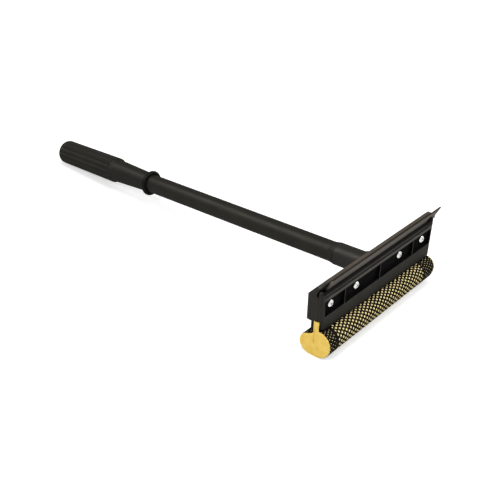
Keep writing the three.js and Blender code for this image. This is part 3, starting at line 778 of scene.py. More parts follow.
class RollPath:
    """The net's outer line in the head's Y and Z, by the way along it."""
    STEP = 0.2
    SOFTEN = 1.1
    SEARCH_STEPS = 4001
    ROUND_STEPS = 1500

    def __init__(self):
        start = angle_at(FLAP_FRONT - ROLL_BACK, math.pi / 2, math.pi)
        end = angle_at(FLAP_BACK - ROLL_BACK, 0, math.pi / 2) + 2 * math.pi
        angles = np.linspace(start, end, self.ROUND_STEPS)
        radius = roll_radius(angles)
        y = np.concatenate([[FLAP_FRONT], ROLL_BACK + radius * np.cos(angles), [FLAP_BACK]])
        z = np.concatenate([[STEM_TOP], radius * np.sin(angles) - ROLL_DROP, [STEM_TOP]])
        way = np.concatenate([[0], np.cumsum(np.hypot(np.diff(y), np.diff(z)))])
        self.way = np.arange(0, way[-1], self.STEP)
        self.front_corner, self.back_corner = way[1], way[-2]
        self.length = self.way[-1]
        self.lowest = np.interp(np.argmin(z), np.arange(len(z)), way)
        even_y, even_z = np.interp(self.way, way, y), np.interp(self.way, way, z)
        near = np.minimum(np.abs(self.way - self.front_corner), np.abs(self.way - self.back_corner))
        share = unit(ROLL_CORNER_SHARE - near / ROLL_CORNER_REACH)
        self.y = even_y + share * (self.softened(even_y) - even_y)
        self.z = even_z + share * (self.softened(even_z) - even_z)
        ty, tz = np.gradient(self.y), np.gradient(self.z)
        size = np.hypot(ty, tz)
        self.ny, self.nz = tz / size, -ty / size

    def softened(self, values):
        """Values along the way, smoothed by a bell-shaped weight."""
        reach = int(4 * self.SOFTEN / self.STEP)
        weights = np.exp(-0.5 * (np.arange(-reach, reach + 1) * self.STEP / self.SOFTEN) ** 2)
        padded = np.pad(values, reach, mode="reflect", reflect_type="odd")
        return np.convolve(padded, weights / weights.sum(), mode="valid")

    def point(self, x, s, h):
        """Points in the shared frame: x along the roll, s along the path, h outward from it."""
        y = np.interp(s, self.way, self.y) + h * np.interp(s, self.way, self.ny)
        z = np.interp(s, self.way, self.z) + h * np.interp(s, self.way, self.nz)
        y = y + ROLL_LEAN * x / (2 * HALF_HEAD) * unit(-z / ROLL_DROP)
        return np.stack([x + 0 * y, y + FRONT_Y, np.maximum(z + FOOT_Z, FLOOR_CLEAR)], -1)


PATH = RollPath()
NET_ORIGIN = np.array((0.0, PATH.front_corner + NET_FIRST_GAP))
DRAWN_SHARE = soft_step((PATH.way - PATH.front_corner - NET_DRAWN_FROM) / NET_DRAWN_RUN)
NET_WAY = PATH.way - NET_DRAWN * DRAWN_SHARE


def net_way(s):
    """The way along the net as it lies flat: its gaps are drawn out on the roll's lower front."""
    return np.interp(s, PATH.way, NET_WAY)


def surface_way(way):
    """The way along the roll's path at a way along the flat net."""
    return np.interp(way, NET_WAY, PATH.way)


def end_reach(x):
    """Distance from the nearer end of the roll."""
    return np.minimum(x - ROLL_LEFT, ROLL_RIGHT - x)


def into_hem(x):
    """How far a place lies inside a hem; below 0 on the single net."""
    left = ROLL_LEFT + HEM_LEFT - x
    right = x - ROLL_RIGHT + HEM_RIGHT
    return np.maximum(left, right)


def hem_share(x):
    """0 on the single net, 1 on the doubled hems at both ends."""
    return unit(into_hem(x) / HEM_STEP)


def lapped_share(x):
    """1 where the single net runs on under a hem."""
    return hem_share(x) * unit((HEM_LAP + 1 - into_hem(x)) / HEM_STEP)


def chance(i, j):
    """A number from 0 to 1 that looks random but is fixed for each cell of the net."""
    value = np.sin(i * 12.9898 + j * 78.233) * 43758.5453
    return value - np.floor(value)


def to_cells(place, across, slant):
    """Places on the flat net in steps of its lattice."""
    return place @ np.linalg.inv(np.stack([across, slant], 1)).T


def gap_distance(x, s, scale, half_width, half_height):
    """Distance from the nearest gap's middle, as a share of the gap, and the gap's own number."""
    across, slant = GAP_ACROSS * scale, GAP_SLANT * scale
    place = np.stack([x, net_way(s)], -1) - NET_ORIGIN
    cell = to_cells(place, across, slant)
    best = np.full(x.shape, np.inf)
    number = np.zeros(x.shape)
    for step in ((0, 0), (0, 1), (1, 0), (1, 1)):
        index = np.floor(cell) + step
        off = place - index[..., :1] * across - index[..., 1:] * slant
        far = np.hypot(off[..., 0] / half_width, off[..., 1] / half_height)
        number = np.where(far < best, chance(index[..., 0], index[..., 1]), number)
        best = np.minimum(best, far)
    return best, number


def on_flap(s):
    """1 on the flaps and the stem's sides, 0 on the roll."""
    front = PATH.front_corner + FLAP_PAST - s
    back = s - PATH.back_corner + FLAP_PAST
    return unit(np.maximum(front, back) / FLAP_RUN)


def foam_skin(x, s):
    """The foam's height, and its share of swelling: it swells through the gaps and past the net's ends."""
    roll = 1 - on_flap(s)
    hem = hem_share(x)
    reach = end_reach(x)
    far, number = gap_distance(x, s, 1.0, GAP_HALF_WIDTH, GAP_HALF_HEIGHT)
    hem_far, hem_number = gap_distance(x, s, HEM_SCALE, HEM_HALF_WIDTH, HEM_HALF_HEIGHT)
    swell = (1 - hem) * np.clip(1 - (far / SWELL_WIDTH) ** 2, 0, None) ** SWELL_POWER
    hem_swell = hem * np.clip(1 - (hem_far / HEM_SWELL_WIDTH) ** 2, 0, None)
    base = -FOAM_SINK + FOAM_HEM_RISE * hem - FOAM_LAP_SINK * lapped_share(x)
    out = swell * (SWELL + SWELL_SPREAD * (number - 0.5))
    hem_out = hem_swell * (HEM_SWELL + HEM_SWELL_SPREAD * hem_number)
    stem = -STEM_INSET - WAIST * soft_step((reach - WAIST_FROM) / WAIST_RUN)
    height = roll * (base + (out + hem_out)) + stem * (1 - roll)
    front = soft_step((s - PATH.front_corner - SCALLOP_FROM) / SCALLOP_RISE)
    front = front * soft_step((PATH.lowest + SCALLOP_PAST - s) / SCALLOP_FALL)
    dips = (0.5 + 0.5 * np.cos(2 * math.pi * s / SCALLOP)) ** 3
    past = soft_step((NET_END + BRIM_LAP - reach) / BRIM_RUN) * roll
    brim = -BRIM_SINK - SCALLOP_DEPTH * front * dips
    height = height + past * (brim - height)
    height = height - END_ROUND * unit(1 - reach / END_ROUND_RUN) ** 2
    return height, roll * np.maximum(swell, hem_swell) * (1 - past)


def inside_outline(points, outline):
    """Which points lie inside a closed outline in the plane."""
    x, y = points[:, 0, None], points[:, 1, None]
    x0, y0 = outline[:, 0], outline[:, 1]
    x1, y1 = np.roll(x0, -1), np.roll(y0, -1)
    crosses = (y0 > y) != (y1 > y)
    with np.errstate(divide="ignore", invalid="ignore"):
        at = x0 + (y - y0) * (x1 - x0) / (y1 - y0)
    return (crosses & (x < at)).sum(1) % 2 == 1


def crease_line(z, x_end):
    """Where the crease in an end face runs at a height, both in the head's own measure."""
    return CREASE_Y + ROLL_LEAN * x_end / (2 * HALF_HEAD) * unit(-z / ROLL_DROP)


def face_points(outline, x_end):
    """Points inside an end face's outline, clear of its edge, with rows of their own along the crease."""
    low, high = outline.min(0), outline.max(0)
    rows = np.arange(low[1], high[1], FACE_ROW * FACE_STEP)
    y, z = np.meshgrid(np.arange(low[0], high[0], FACE_STEP), rows)
    y = y + (np.arange(len(rows)) % 2 * FACE_STEP / 2)[:, None]
    grid = np.stack([y.ravel(), z.ravel()], -1)
    grid = grid + RNG.uniform(-FACE_JITTER, FACE_JITTER, grid.shape)
    beside = np.abs(grid[:, 0] - FRONT_Y - crease_line(grid[:, 1] - FOOT_Z, x_end))
    grid = grid[beside > CREASE_CLEAR]
    heights = np.arange(CREASE_FOOT - CREASE_BEFORE, CREASE_TOP + CREASE_PAST, CREASE_ROW)
    line = crease_line(heights, x_end) + FRONT_Y
    rails = [np.stack([line + off, heights + FOOT_Z], -1) for off in CREASE_OFFSETS]
    grid = np.concatenate([grid, *rails])
    grid = grid[inside_outline(grid, outline)]
    clear = np.sqrt(((grid[:, None] - outline[None]) ** 2).sum(-1)).min(1)
    return grid[clear > FACE_CLEAR], clear[clear > FACE_CLEAR]


def end_face(outline, side, x_end):
    """A cut end of the foam: points inside the outline, and triangles that count the outline first."""
    grid, clear = face_points(outline, x_end)
    count = len(outline)
    edges = [(i, (i + 1) % count) for i in range(count)]
    flat = [Vector(p) for p in np.concatenate([outline, grid])]
    _, _, faces, origins, _, _ = delaunay_2d_cdt(flat, edges, [], 1, CUT_NEAR)
    source = [ids[0] for ids in origins]
    y, z = grid[:, 0] - FRONT_Y, grid[:, 1] - FOOT_Z
    bulge = FACE_BULGE * (1 - np.exp(-clear / FACE_BULGE_RUN))
    bulge = bulge + RIPPLE * np.sin(0.9 * grid[:, 0] + 1.3) * np.sin(0.8 * grid[:, 1])
    along = unit((z - CREASE_FOOT) / CREASE_RUN)
    along = along * unit((CREASE_TOP + CREASE_RUN - z) / CREASE_RUN)
    groove = CREASE_DEPTH * along * np.exp(-((y - crease_line(z, x_end)) / CREASE_WIDTH) ** 2)
    middle = np.stack([x_end + side * (bulge - groove), grid[:, 0], grid[:, 1]], -1)
    return middle, [tuple(source[i] for i in face) for face in faces]


def make_foam():
    """The foam: a lofted skin from the stem round the roll, and two cut end faces."""
    inner = np.arange(ROLL_LEFT + FOAM_INNER_LEFT, ROLL_RIGHT - FOAM_INNER_RIGHT, FOAM_COLUMN)
    xs = np.concatenate([ROLL_LEFT + FOAM_END_COLUMNS, inner, ROLL_RIGHT - FOAM_END_COLUMNS[::-1]])
    s = np.linspace(0, PATH.length, FOAM_AROUND)
    grid_x, grid_s = np.meshgrid(xs, s, indexing="ij")
    height, tip = foam_skin(grid_x, grid_s)
    skin = PATH.point(grid_x, grid_s, height)
    points, faces = loft(skin)
    around = len(s)
    for column, side in ((0, -1), (len(xs) - 1, 1)):
        middle, triangles = end_face(skin[column][:, 1:], side, xs[column])
        first, base = column * around, len(points)
        for ids in triangles:
            faces.append(tuple(first + i if i < around else base + i - around for i in ids))
        points = np.concatenate([points, middle])
    foam = make_piece("foam_roll_soft", points, faces, FOAM)
    # The tip attribute, for the swelling foam's paleness and painted highlight
    shades = np.zeros(len(points))
    shades[:tip.size] = tip.ravel()
    foam.data.attributes.new("tip", "FLOAT", "POINT").data.foreach_set("value", shades)
    stand_for(outward(foam), "tool", "yellow_foam", "foam_roll")


def net_cell(across, slant, half_width, half_height, crown, thickness):
    """Rings of points from a cell's edge over the strand, down into the gap and back underneath."""
    around = across + 2 * slant
    corners = [across / 2, around / 2, -across / 2, -around / 2]
    edge = []
    for k in range(CELL_POINTS):
        corner, step = divmod(k, CELL_SIDE_POINTS)
        side = corners[(corner + 1) % len(corners)] - corners[corner]
        edge.append(corners[corner] + side * step / CELL_SIDE_POINTS)
    turn = circle(CELL_POINTS)
    hole = np.outer(np.cos(turn), across / np.linalg.norm(across)) * half_width
    hole = hole + np.outer(np.sin(turn), around / np.linalg.norm(around)) * half_height
    level = np.zeros(CELL_POINTS)
    rings = [
        (0.0, crown + KNOT * np.abs(np.cos(turn))),
        (0.45, crown - 0.05 + level),
        (0.85, crown - 0.3 * thickness + level),
        (1.0, crown - 0.55 * thickness + level),
        (0.85, crown - 0.85 * thickness + level),
        (0.0, crown - thickness + level),
    ]
    inward = np.repeat([share for share, _ in rings], CELL_POINTS)[:, None]
    start = np.tile(edge, (len(rings), 1))
    end = np.tile(hole, (len(rings), 1))
    return start, end, inward, np.concatenate([height for _, height in rings])[:, None]


def net_slab(sides, scale, half_width, half_height, crown, thickness):
    """A flat net in (x, way, h): one ring-shaped cell for each gap, cut straight at its four sides."""
    x_low, x_high, s_low, s_high = sides
    across, slant = GAP_ACROSS * scale, GAP_SLANT * scale
    start, end, inward, height = net_cell(across, slant, half_width, half_height, crown, thickness)
    _, quads = loft(np.zeros((len(start) // CELL_POINTS, CELL_POINTS, 3)))
    xs = (x_low - 2 * CELL_REACH_X, x_high + 2 * CELL_REACH_X)
    ways = (s_low - 2 * CELL_REACH_S, s_high + 2 * CELL_REACH_S)
    reach = to_cells(np.array([(x, s) for x in xs for s in ways]) - NET_ORIGIN, across, slant)
    low, high = np.floor(reach.min(0)).astype(int), np.ceil(reach.max(0)).astype(int)
    points, faces = [], []
    for i in range(low[0], high[0] + 1):
        for j in range(low[1], high[1] + 1):
            middle = NET_ORIGIN + i * across + j * slant
            if not x_low - CELL_REACH_X < middle[0] < x_high + CELL_REACH_X:
                continue
            if not s_low - CELL_REACH_S < middle[1] < s_high + CELL_REACH_S:
                continue
            base = len(points) * len(start)
            flap = float(on_flap(surface_way(middle[1]) - FLAP_SHRINK_PAST))
            size = (GAP_SIZE + GAP_SIZE_SPREAD * chance(i, j)) * (1 - FLAP_SHRINK * flap)
            place = middle + start + (end * size - start) * inward
            points.append(np.concatenate([place, height], 1))
            faces.extend(tuple(v + base for v in q) for q in quads)
    mesh = bpy.data.meshes.new("flat net")
    mesh.from_pydata(np.concatenate(points).tolist(), [], faces)
    shape = bmesh.new()
    shape.from_mesh(mesh)
    bmesh.ops.remove_doubles(shape, verts=shape.verts, dist=NET_WELD)
    for axis, at, facing in ((0, x_low, -1), (0, x_high, 1), (1, s_low, -1), (1, s_high, 1)):
        point, normal = Vector((0, 0, 0)), Vector((0, 0, 0))
        point[axis], normal[axis] = at, facing
        everything = shape.verts[:] + shape.edges[:] + shape.faces[:]
        bmesh.ops.bisect_plane(
            shape, geom=everything, dist=CUT_NEAR, plane_co=point, plane_no=normal, clear_outer=True
        )
        open_edges = [edge for edge in shape.edges if edge.is_boundary]
        rim = [edge for edge in open_edges if all(abs(v.co[axis] - at) < CUT_RIM for v in edge.verts)]
        bmesh.ops.holes_fill(shape, edges=rim, sides=0)
    bmesh.ops.recalc_face_normals(shape, faces=shape.faces)
    shape.to_mesh(mesh)
    shape.free()
    flat = np.zeros(len(mesh.vertices) * 3)
    mesh.vertices.foreach_get("co", flat)
    return mesh, flat.reshape(-1, 3)


def wrap(mesh, flat, sunk):
    """Lays a flat net on the roll; on the flaps it is thin and reaches nearer the ends."""
    x, way, h = flat.T
    s = surface_way(way)
    flap = on_flap(s)
    outer = np.where(x < 0, -1, 1) * unit(1 - (end_reach(x) - NET_END) / FLAP_END_RUN)
    x = x + (NET_END - FLAP_END) * outer * flap
    h = np.where(flap > 0, np.minimum(h, 0), h) * (1 - FLAP_THIN * flap) - sunk * (1 - flap)
    mesh.vertices.foreach_set("co", (PATH.point(x, s, h) * MM).ravel())
    mesh.update()


def make_net():
    """The net round the roll, its edges beside the stem, and a doubled hem at each end."""
    start = STEM_TOP - FLAP_RISE
    low, high = net_way(np.array((start, PATH.length - start)))
    left, right = ROLL_LEFT + NET_END, ROLL_RIGHT - NET_END
    hem_left, hem_right = ROLL_LEFT + HEM_LEFT, ROLL_RIGHT - HEM_RIGHT
    sides = (hem_left - HEM_LAP, hem_right + HEM_LAP, low, high)
    mesh, flat = net_slab(sides, 1.0, GAP_HALF_WIDTH, GAP_HALF_HEIGHT, 0.0, NET_THICKNESS)
    wrap(mesh, flat, HEM_THICKNESS * hem_share(flat[:, 0]))
    net = stand_for(place_mesh("net_cover_soft", mesh, NET), "tool", "black_net", "net_cover")
    for name, x0, x1 in (("net_hem_left", left, hem_left), ("net_hem_right", hem_right, right)):
        sides = (x0, x1, low, high)
        mesh, flat = net_slab(sides, HEM_SCALE, HEM_HALF_WIDTH, HEM_HALF_HEIGHT, HEM_CROWN, HEM_THICKNESS)
        wrap(mesh, flat, 0)
        hem = place_mesh(name, mesh, NET)
        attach(hem, "tool")


# The handle

def make_tube():
    """The tube, with a flared mouth over the head's neck."""
    profile = filleted([
        (TUBE_START, TUBE_BORE),
        (TUBE_START, NECK_RADIUS),
        (TUBE_START + MOUTH_LENGTH, NECK_RADIUS),
        (TUBE_START + FLARE_LENGTH, TUBE_RADIUS),
        (TUBE_END, TUBE_RADIUS),
        (TUBE_END, TUBE_BORE),
    ], TUBE_EDGE, closed=True)
    tube = even_normals(outward(turned("handle_tube_fine", profile, HANDLE_PLASTIC)))
    stand_for(tube, "tool", "black_plastic", "handle_tube")


def make_ring():
    """The round bead in front of the grip, flat where it sits on the tube."""
    centre = RING_RADIUS - RING_SECTION
    turn = circle(RING_STEPS)
    radius = np.maximum(centre + RING_SECTION * np.cos(turn), TUBE_RADIUS + RING_CLEAR)
    profile = np.stack([RING_MIDDLE + RING_SECTION * np.sin(turn), radius], -1)
    ring = outward(turned("drip_ring_fine", profile, RING_RUBBER))
    stand_for(ring, "tool", "ring_rubber", "drip_ring")


def between(first, last, shares, rises=None):
    """Points from the first to the last by shares of the way, with shares of their own for the rise."""
    rises = shares if rises is None else rises
    along = first[0] + shares * (last[0] - first[0])
    return np.stack([along, first[1] + rises * (last[1] - first[1])], -1)


def grip_profile():
    """The grip without its flutes, as (along, radius) points: lip, taper, shoulder, body, edge and butt."""
    neck = (GRIP_START, GRIP_NECK_RADIUS)
    taper = (GRIP_START + GRIP_TAPER, GRIP_TAPER_RADIUS)
    shoulder = (taper[0] + GRIP_SHOULDER, GRIP_RADIUS)
    rest = (GRIP_REST, GRIP_BUTT_RADIUS)
    lip = [
        (GRIP_START, 0.0),
        (GRIP_START, GRIP_NECK_RADIUS - GRIP_LIP),
        (GRIP_START + GRIP_LIP_BEND, GRIP_NECK_RADIUS - GRIP_LIP_BEND),
        (GRIP_START + GRIP_LIP, GRIP_NECK_RADIUS),
    ]
    turn = np.linspace(0.1, 1, 12) * math.pi / 2
    edge = np.stack([np.sin(turn), np.cos(turn) - 1], -1) * GRIP_EDGE + rest
    steps = np.linspace(0.1, 1, 10)
    inward = 1 - np.linspace(0.2, 1, 6)
    butt = np.stack([GRIP_END - GRIP_CROWN * inward ** 2, (GRIP_BUTT_RADIUS - GRIP_EDGE) * inward], -1)
    return np.concatenate([
        lip,
        between(neck, taper, np.linspace(0.03, 1, 24)),
        between(taper, shoulder, steps, soft_step(steps)),
        between(shoulder, rest, np.linspace(0.01, 1, 72)),
        edge,
        butt,
    ])


def make_grip():
    """The grip: a smooth taper, a shoulder, scooped flutes and a domed butt."""
    profile = grip_profile()
    along, radius = profile[:, 0, None], profile[:, 1, None]
    angles = circle(FLUTES * FLUTE_STEPS)
    off = (angles * FLUTES / (2 * math.pi) + 0.5) % 1 - 0.5
    side = off * 2 * math.pi / FLUTES * GRIP_RADIUS
    half = FLUTE_SHARE * math.pi / FLUTES * GRIP_RADIUS
    first = GRIP_START + GRIP_TAPER + GRIP_SHOULDER + FLUTE_FROM + half
    last = GRIP_REST - FLUTE_TO
    beyond = np.maximum(np.maximum(first - along, along - last), 0)
    far = np.hypot(side, beyond) / half
    radius = radius - FLUTE_DEPTH * unit(1 - far ** 2)
    rings = handle_point(along + 0 * angles, radius * np.cos(angles), radius * np.sin(angles))
    grip = outward(make_piece("grip_fine", *loft(rings), HANDLE_PLASTIC))
    stand_for(grip, "tool", "black_plastic", "grip")


# The head

def make_jaw():
    """The rear jaw: its solid with rounded edges, and a painted highlight on its leaning wall's top."""
    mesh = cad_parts["rear_jaw"].data.copy()
    mesh.name = "rear_jaw_fine"
    shape = bmesh.new()
    shape.from_mesh(mesh)
    bmesh.ops.remove_doubles(shape, verts=shape.verts, dist=SOLID_WELD * MM)
    bmesh.ops.dissolve_limit(shape, angle_limit=JAW_FLAT_ANGLE, verts=shape.verts, edges=shape.edges)
    shape.to_mesh(mesh)
    shape.free()
    jaw = place_mesh("rear_jaw_fine", mesh, JAW_SHADE_PLASTIC)
    soften = jaw.modifiers.new("rounded edges", "BEVEL")
    soften.width = JAW_EDGE * MM
    soften.segments = JAW_EDGE_STEPS
    soften.limit_method = "ANGLE"
    soften.angle_limit = JAW_EDGE_ANGLE
    soften.harden_normals = False
    even_normals(jaw)
    stand_for(jaw, "tool", "black_plastic", "rear_jaw")
    # Painted highlight on the top faces of the leaning wall
    jaw.data.materials.append(RIM_HIGHLIGHT_PLASTIC)
    up = Vector((0, -math.sin(BLADE_LEAN), math.cos(BLADE_LEAN)))
    for face in jaw.data.polygons:
        high = face.center.z > (FOOT_Z + EAR_TOP) * MM
        face.material_index = int(high and face.normal.dot(up) > RIM_FACING)


def make_blade():
    """The rubber strip: a rounded bend, and a front that leans out to its wiping edge, whose tip faces take
    painted shade.
    """
    lean = np.array((-math.sin(BLADE_LEAN), math.cos(BLADE_LEAN)))
    back = np.array((math.cos(BLADE_LEAN), math.sin(BLADE_LEAN)))
    bend = np.array((JAW_FRONT, BLADE_BEND))

    def leaning(up, depth):
        return bend + lean * up + back * depth

    turn = -(1 - math.cos(BLADE_LEAN)) / math.sin(BLADE_LEAN)
    fillets = (
        BLADE_ROOT_FILLET, BLADE_ROOT_FILLET, BLADE_BEND_FILLET,
        BLADE_TIP_FILLET, BLADE_TIP_FILLET, BLADE_BEND_FILLET,
    )
    outline = filleted([
        (JAW_FRONT, BLADE_ROOT),
        (JAW_FRONT + BLADE_THICKNESS, BLADE_ROOT),
        leaning(turn * BLADE_THICKNESS, BLADE_THICKNESS),
        leaning(BLADE_REACH, BLADE_TIP),
        leaning(BLADE_REACH, 0),
        leaning(0, 0),
    ], fillets, BLADE_CORNER_STEPS, closed=True)
    tip_faces = range(3 * (BLADE_CORNER_STEPS + 1), 5 * (BLADE_CORNER_STEPS + 1) - 1)
    xs = BLADE_MIDDLE + np.linspace(-BLADE_LENGTH / 2, BLADE_LENGTH / 2, BLADE_RINGS)
    rings = np.zeros((len(xs), len(outline), 3))
    rings[..., 0] = xs[:, None]
    rings[..., 1:] = outline + (FRONT_Y, FOOT_Z)
    points, faces = loft(rings)
    count = len(outline)
    faces.append(tuple(range(count))[::-1])
    faces.append(tuple(range(len(points) - count, len(points))))
    blade = make_piece("blade_fine", points, faces, BLADE_RUBBER)
    # Painted shade on the tip faces
    blade.data.materials.append(TIP_SHADE_RUBBER)
    for face in range((len(xs) - 1) * count):
        blade.data.polygons[face].material_index = int(face % count in tip_faces)
    even_normals(outward(blade))
    stand_for(blade, "blade", "blade_rubber", "blade")


PLATE_PLASTICS = (HEAD_PLASTIC, RECESS_SHADE_PLASTIC, COVE_SHADE_PLASTIC, JAW_SHADE_PLASTIC, LEDGE_HIGHLIGHT_PLASTIC)


def plate_half(z):
    """Half the plate's length at a height: its ends draw in towards the foot and its corners are round."""
    half = HALF_HEAD - PLATE_END_INSET - PLATE_TAPER * (1 - z / EAR_TOP)
    low = 1 - np.sqrt(unit(z / PLATE_CORNER))
    high = 1 - np.sqrt(unit((EAR_TOP - z) / PLATE_CORNER))
    return half - PLATE_CORNER * (low ** 2 + high ** 2)


def plate_front():
    """The plate's front up to the ledge, as heights, depths and shares of the recess's depth."""
    t = np.linspace(0, 1, 6)
    floor = np.linspace(RECESS_LOW + FLOOR_INSET, RECESS_HIGH - FLOOR_INSET, 6)
    low, high = RECESS_LOW + WALL_STEPS, RECESS_HIGH - WALL_STEPS[::-1]
    z = np.concatenate([PLATE_EDGE * t ** 2, PLAIN_HEIGHTS, low, floor, high])
    y = np.zeros(len(z))
    y[:len(t)] = PLATE_EDGE * (1 - t) ** 2
    share = np.concatenate([0 * t, 0 * PLAIN_HEIGHTS, WALL_SHARES, 0 * floor + 1, WALL_SHARES[::-1]])
    return z, y, share


def plate_ledge():
    """The ledge with its cove and lip, and the ear's crest, as (depth, height) paths of equal count."""
    t = np.linspace(0, 1, 5)
    edge = np.stack([LEDGE_EDGE * t ** 2, SHELF - LEDGE_EDGE * (1 - t) ** 2], -1)
    t = np.linspace(0.12, 1, 13)
    cove = np.stack([LIP_FRONT - COVE + COVE * (2 * t - t * t), SHELF + COVE * t * t], -1)
    start, top, end = (0, LEDGE_START), (PLATE_DEPTH, PLATE_TOP), (PLATE_DEPTH, PLATE_TOP - LIP_DROP)
    lip = filleted([(LIP_FRONT, SHELF + COVE + LIP_GAP), (LIP_FRONT, PLATE_TOP), top, end], LIP_FILLET)
    ledge = np.concatenate([[start], edge, cove, lip])
    t = np.linspace(0, 1, 12)
    crest = np.stack([EAR_CREST * t ** 2, EAR_FRONT + (EAR_TOP - EAR_FRONT) * (2 * t - t * t)], -1)
    ear = np.concatenate([[start], crest, [(EAR_BACK, EAR_TOP), top, end]])
    return ledge, resampled(ear, len(ledge))


def resampled(path, count):
    """A path taken at evenly spaced places."""
    way = np.concatenate([[0], np.cumsum(np.hypot(*np.diff(path, axis=0).T))])
    at = np.linspace(0, way[-1], count)
    return np.stack([np.interp(at, way, path[:, 0]), np.interp(at, way, path[:, 1])], -1)


def plate_columns():
    """Places along the plate, close together at its ends, walls and ribs."""
    half = float(plate_half(PLATE_MIDDLE))
    near = np.concatenate([END_COLUMNS, END_WALL + WALL_STEPS])
    plain = np.arange(-half + PLAIN_LEFT, half - PLAIN_RIGHT, PLAIN_COLUMN)
    away = np.min([np.abs(plain - r) for r in RIB_PLACES], 0)
    ribs = [r + side * (RIB_HALF + WALL_STEPS) for r in RIB_PLACES for side in (-1, 1)]
    return np.sort(np.concatenate([near - half, half - near, plain[away > RIB_CLEAR], RIB_PLACES, *ribs]))


def plate_sheets():
    """The plate's front and back as grids of points, by columns and rows, and which points are sunk."""
    at = plate_columns()[:, None]
    half = float(plate_half(PLATE_MIDDLE))
    reach = half - np.abs(at)
    from_rib = np.min([np.abs(at - r) for r in RIB_PLACES], 0) - RIB_HALF
    bay = np.interp(np.minimum(reach - END_WALL, from_rib), WALL_STEPS, WALL_SHARES)
    depth = RECESS_DEPTH * bay + np.where(from_rib < 1, RIB_SETBACK * (1 - bay), 0)
    ear = 1 - soft_step((reach - 0.5 * END_WALL) / EAR_BLEND)
    front_z, front_y, share = plate_front()
    ledge, crest = plate_ledge()
    upper = ledge + ear[..., None] * (crest - ledge)
    y = np.concatenate([front_y + share * depth, upper[..., 0]], 1)
    z = np.concatenate([front_z + 0 * at, upper[..., 1]], 1)
    cut = END_CUT * unit(z / EAR_TOP)
    y = y + np.clip(cut + EDGE_RADIUS - reach, 0, None) ** 2 / (2 * EDGE_RADIUS + cut)
    y = np.minimum(y, PLATE_DEPTH)
    follow = np.sign(at) * (1 - soft_step((reach - FOLLOW_FROM) / FOLLOW_RUN))
    front = np.stack([at + follow * (plate_half(z) - half), y, z], -1)
    # Points deep in the recess, which take the painted shade
    sunk = np.zeros(z.shape, bool)
    sunk[:, :len(front_z)] = share * depth > RECESS_SHADE * RECESS_DEPTH

    back_top = np.linspace(SHELF - BACK_DROP, PLATE_TOP - BACK_DROP, len(ledge))
    z = np.concatenate([front_z, back_top]) + 0 * at
    y = PLATE_FOOT_THICKNESS + np.clip(z - PLATE_FOOT_TOP, 0, PLATE_DEPTH - PLATE_FOOT_THICKNESS)
    closed = unit((z - CLOSING_LOW) / CLOSING_RUN)
    y = y + CLOSING * closed * unit((CLOSING_HIGH - z) / CLOSING_RUN)
    x = at + follow * (plate_half(z) - half)
    widest = np.minimum(plate_half(z) + PLATE_END_SPREAD * y, PLATE_END)
    for column, side in ((0, -1), (-1, 1)):
        x[column] = side * widest[column]
    return front, np.stack([x, y, z], -1), sunk


def plate_ridge(front, back, side):
    """The line on an end face of the plate where its slant ends, between its front and back edges."""
    turn = (PLATE_END - plate_half(front[:, 2])) / PLATE_END_SPREAD
    turn = np.clip(turn, front[:, 1], back[:, 1])
    way = ((turn - front[:, 1]) / np.maximum(back[:, 1] - front[:, 1], 1e-6))[:, None]
    ridge = front + (back - front) * way
    ridge[:, 0] = side * np.minimum(plate_half(ridge[:, 2]) + PLATE_END_SPREAD * turn, PLATE_END)
    return ridge


def paint_plate(plate, sunk):
    """Plastics by the front's rows: painted shade in the recess and the upper cove, a painted highlight on
    the ledge's edge, and the jaw's darker plastic as painted shade on the ends, whose faces come last.
    """
    for material in PLATE_PLASTICS[1:]:
        plate.data.materials.append(material)
    front_rows = len(plate_front()[0])
    # Faces deep in the recess take its painted shade
    deep = sunk[:-1, :-1] | sunk[1:, :-1] | sunk[1:, 1:] | sunk[:-1, 1:]
    kind = np.where(deep, PLATE_PLASTICS.index(RECESS_SHADE_PLASTIC), PLATE_PLASTICS.index(HEAD_PLASTIC))
    # The ledge's edge rows take the painted highlight
    kind[:, front_rows - 1:front_rows + EDGE_ROWS] = PLATE_PLASTICS.index(LEDGE_HIGHLIGHT_PLASTIC)
    # The upper cove and lip take the painted shade
    kind[:, front_rows + COVE_ROWS:] = PLATE_PLASTICS.index(COVE_SHADE_PLASTIC)
    for face, index in enumerate(kind.ravel().tolist()):
        plate.data.polygons[face].material_index = index
    # The end faces take the jaw's darker plastic as painted shade
    end_faces = 4 * kind.shape[1]
    for face in plate.data.polygons[-end_faces:]:
        face.material_index = PLATE_PLASTICS.index(JAW_SHADE_PLASTIC)


def make_plate():
    """The clamp plate: ribs in a recess, a coved ledge, and ears that run into the cove."""
    front, back, sunk = plate_sheets()
    columns, rows = sunk.shape
    points = [front.reshape(-1, 3), back.reshape(-1, 3)]
    grid = np.arange(columns * rows).reshape(columns, rows)
    sheets = [grid, grid + columns * rows]
    strips = [np.stack([s[:, k] for s in sheets]) for k in (0, -1)]
    for number, (column, side) in enumerate(((0, -1), (-1, 1))):
        points.append(plate_ridge(front[column], back[column], side))
        middle = 2 * columns * rows + number * rows + np.arange(rows)
        strips.append(np.stack([sheets[0][column], middle, sheets[1][column]]))
    faces = []
    for sheet in sheets + strips:
        corners = np.stack([sheet[:-1, :-1], sheet[1:, :-1], sheet[1:, 1:], sheet[:-1, 1:]], -1)
        faces.extend(tuple(int(v) for v in face) for face in corners.reshape(-1, 4))
    points = np.concatenate(points) + (0, FRONT_Y, FOOT_Z)
    plate = make_piece("clamp_plate_fine", points, faces, HEAD_PLASTIC)
    paint_plate(plate, sunk)
    stand_for(even_normals(outward(plate)), "tool", "black_plastic", "clamp_plate")


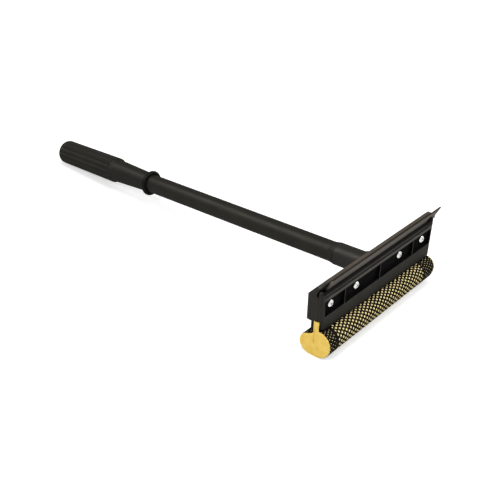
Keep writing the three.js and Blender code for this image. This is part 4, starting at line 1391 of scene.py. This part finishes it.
def make_screw(number, place, turn):
    """A pan-head screw: a domed head with a tapered cross in it, on a plain shank with a point."""
    angles = circle(SCREW_STEPS)
    radii = np.concatenate([np.linspace(0, SCREW_FACE, SCREW_FACE_RINGS), SCREW_HEAD_RADIUS * SCREW_RIM])
    radius = radii[:, None] + 0 * angles
    share = radius / SCREW_HEAD_RADIUS
    drop = 1 - unit(1 - share ** DOME_SPREAD) ** DOME_POWER
    dome = SCREW_SEAT - SCREW_RISE + DOME_SHARE * SCREW_RISE * drop
    u, v = np.abs(radius * np.cos(angles - turn)), np.abs(radius * np.sin(angles - turn))
    cut = np.zeros(radius.shape)
    for long, wide in ((u, v), (v, u)):
        wing = unit((CROSS_HALF_WIDTH - wide) / CROSS_FLANK + 0.5)
        wing = wing * unit((CROSS_HALF_LENGTH - long) / CROSS_RUNOUT)
        cut = np.maximum(cut, soft_step(wing) * (1 - CROSS_SLOPE * long / CROSS_HALF_LENGTH))
    depth = dome + CROSS_DEPTH * cut
    shank = [
        (SCREW_HEAD_RADIUS, SCREW_SEAT - SCREW_BEVEL),
        (SCREW_HEAD_RADIUS - SCREW_BEVEL, SCREW_SEAT),
        (SCREW_RADIUS, SCREW_SEAT),
        (SCREW_RADIUS, SCREW_TIP - SCREW_POINT),
        (0.0, SCREW_TIP),
    ]
    radius = np.concatenate([radius, [[r] * SCREW_STEPS for r, _ in shank]])
    depth = np.concatenate([depth, [[d] * SCREW_STEPS for _, d in shank]])
    rings = np.stack([
        place + radius * np.cos(angles),
        FRONT_Y + depth,
        FOOT_Z + SCREW_HEIGHT + radius * np.sin(angles),
    ], -1)
    screw = make_piece(f"screw_{number}_fine", *loft(rings), STEEL)
    # Painted shade in the cross
    screw.data.materials.append(CROSS_SHADE_STEEL)
    sunk = cut > CROSS_SHADE
    for face in np.flatnonzero((sunk[:-1] & sunk[1:]).ravel()):
        screw.data.polygons[int(face)].material_index = 1
    even_normals(outward(screw))
    stand_for(screw, "tool", "bright_steel", f"screw_{number}")


make_foam()
make_net()
make_tube()
make_ring()
make_grip()
make_blade()
make_jaw()
make_plate()
for number, (place, turn) in enumerate(zip(SCREW_PLACES, CROSS_TURNS), 1):
    make_screw(number, place, turn)
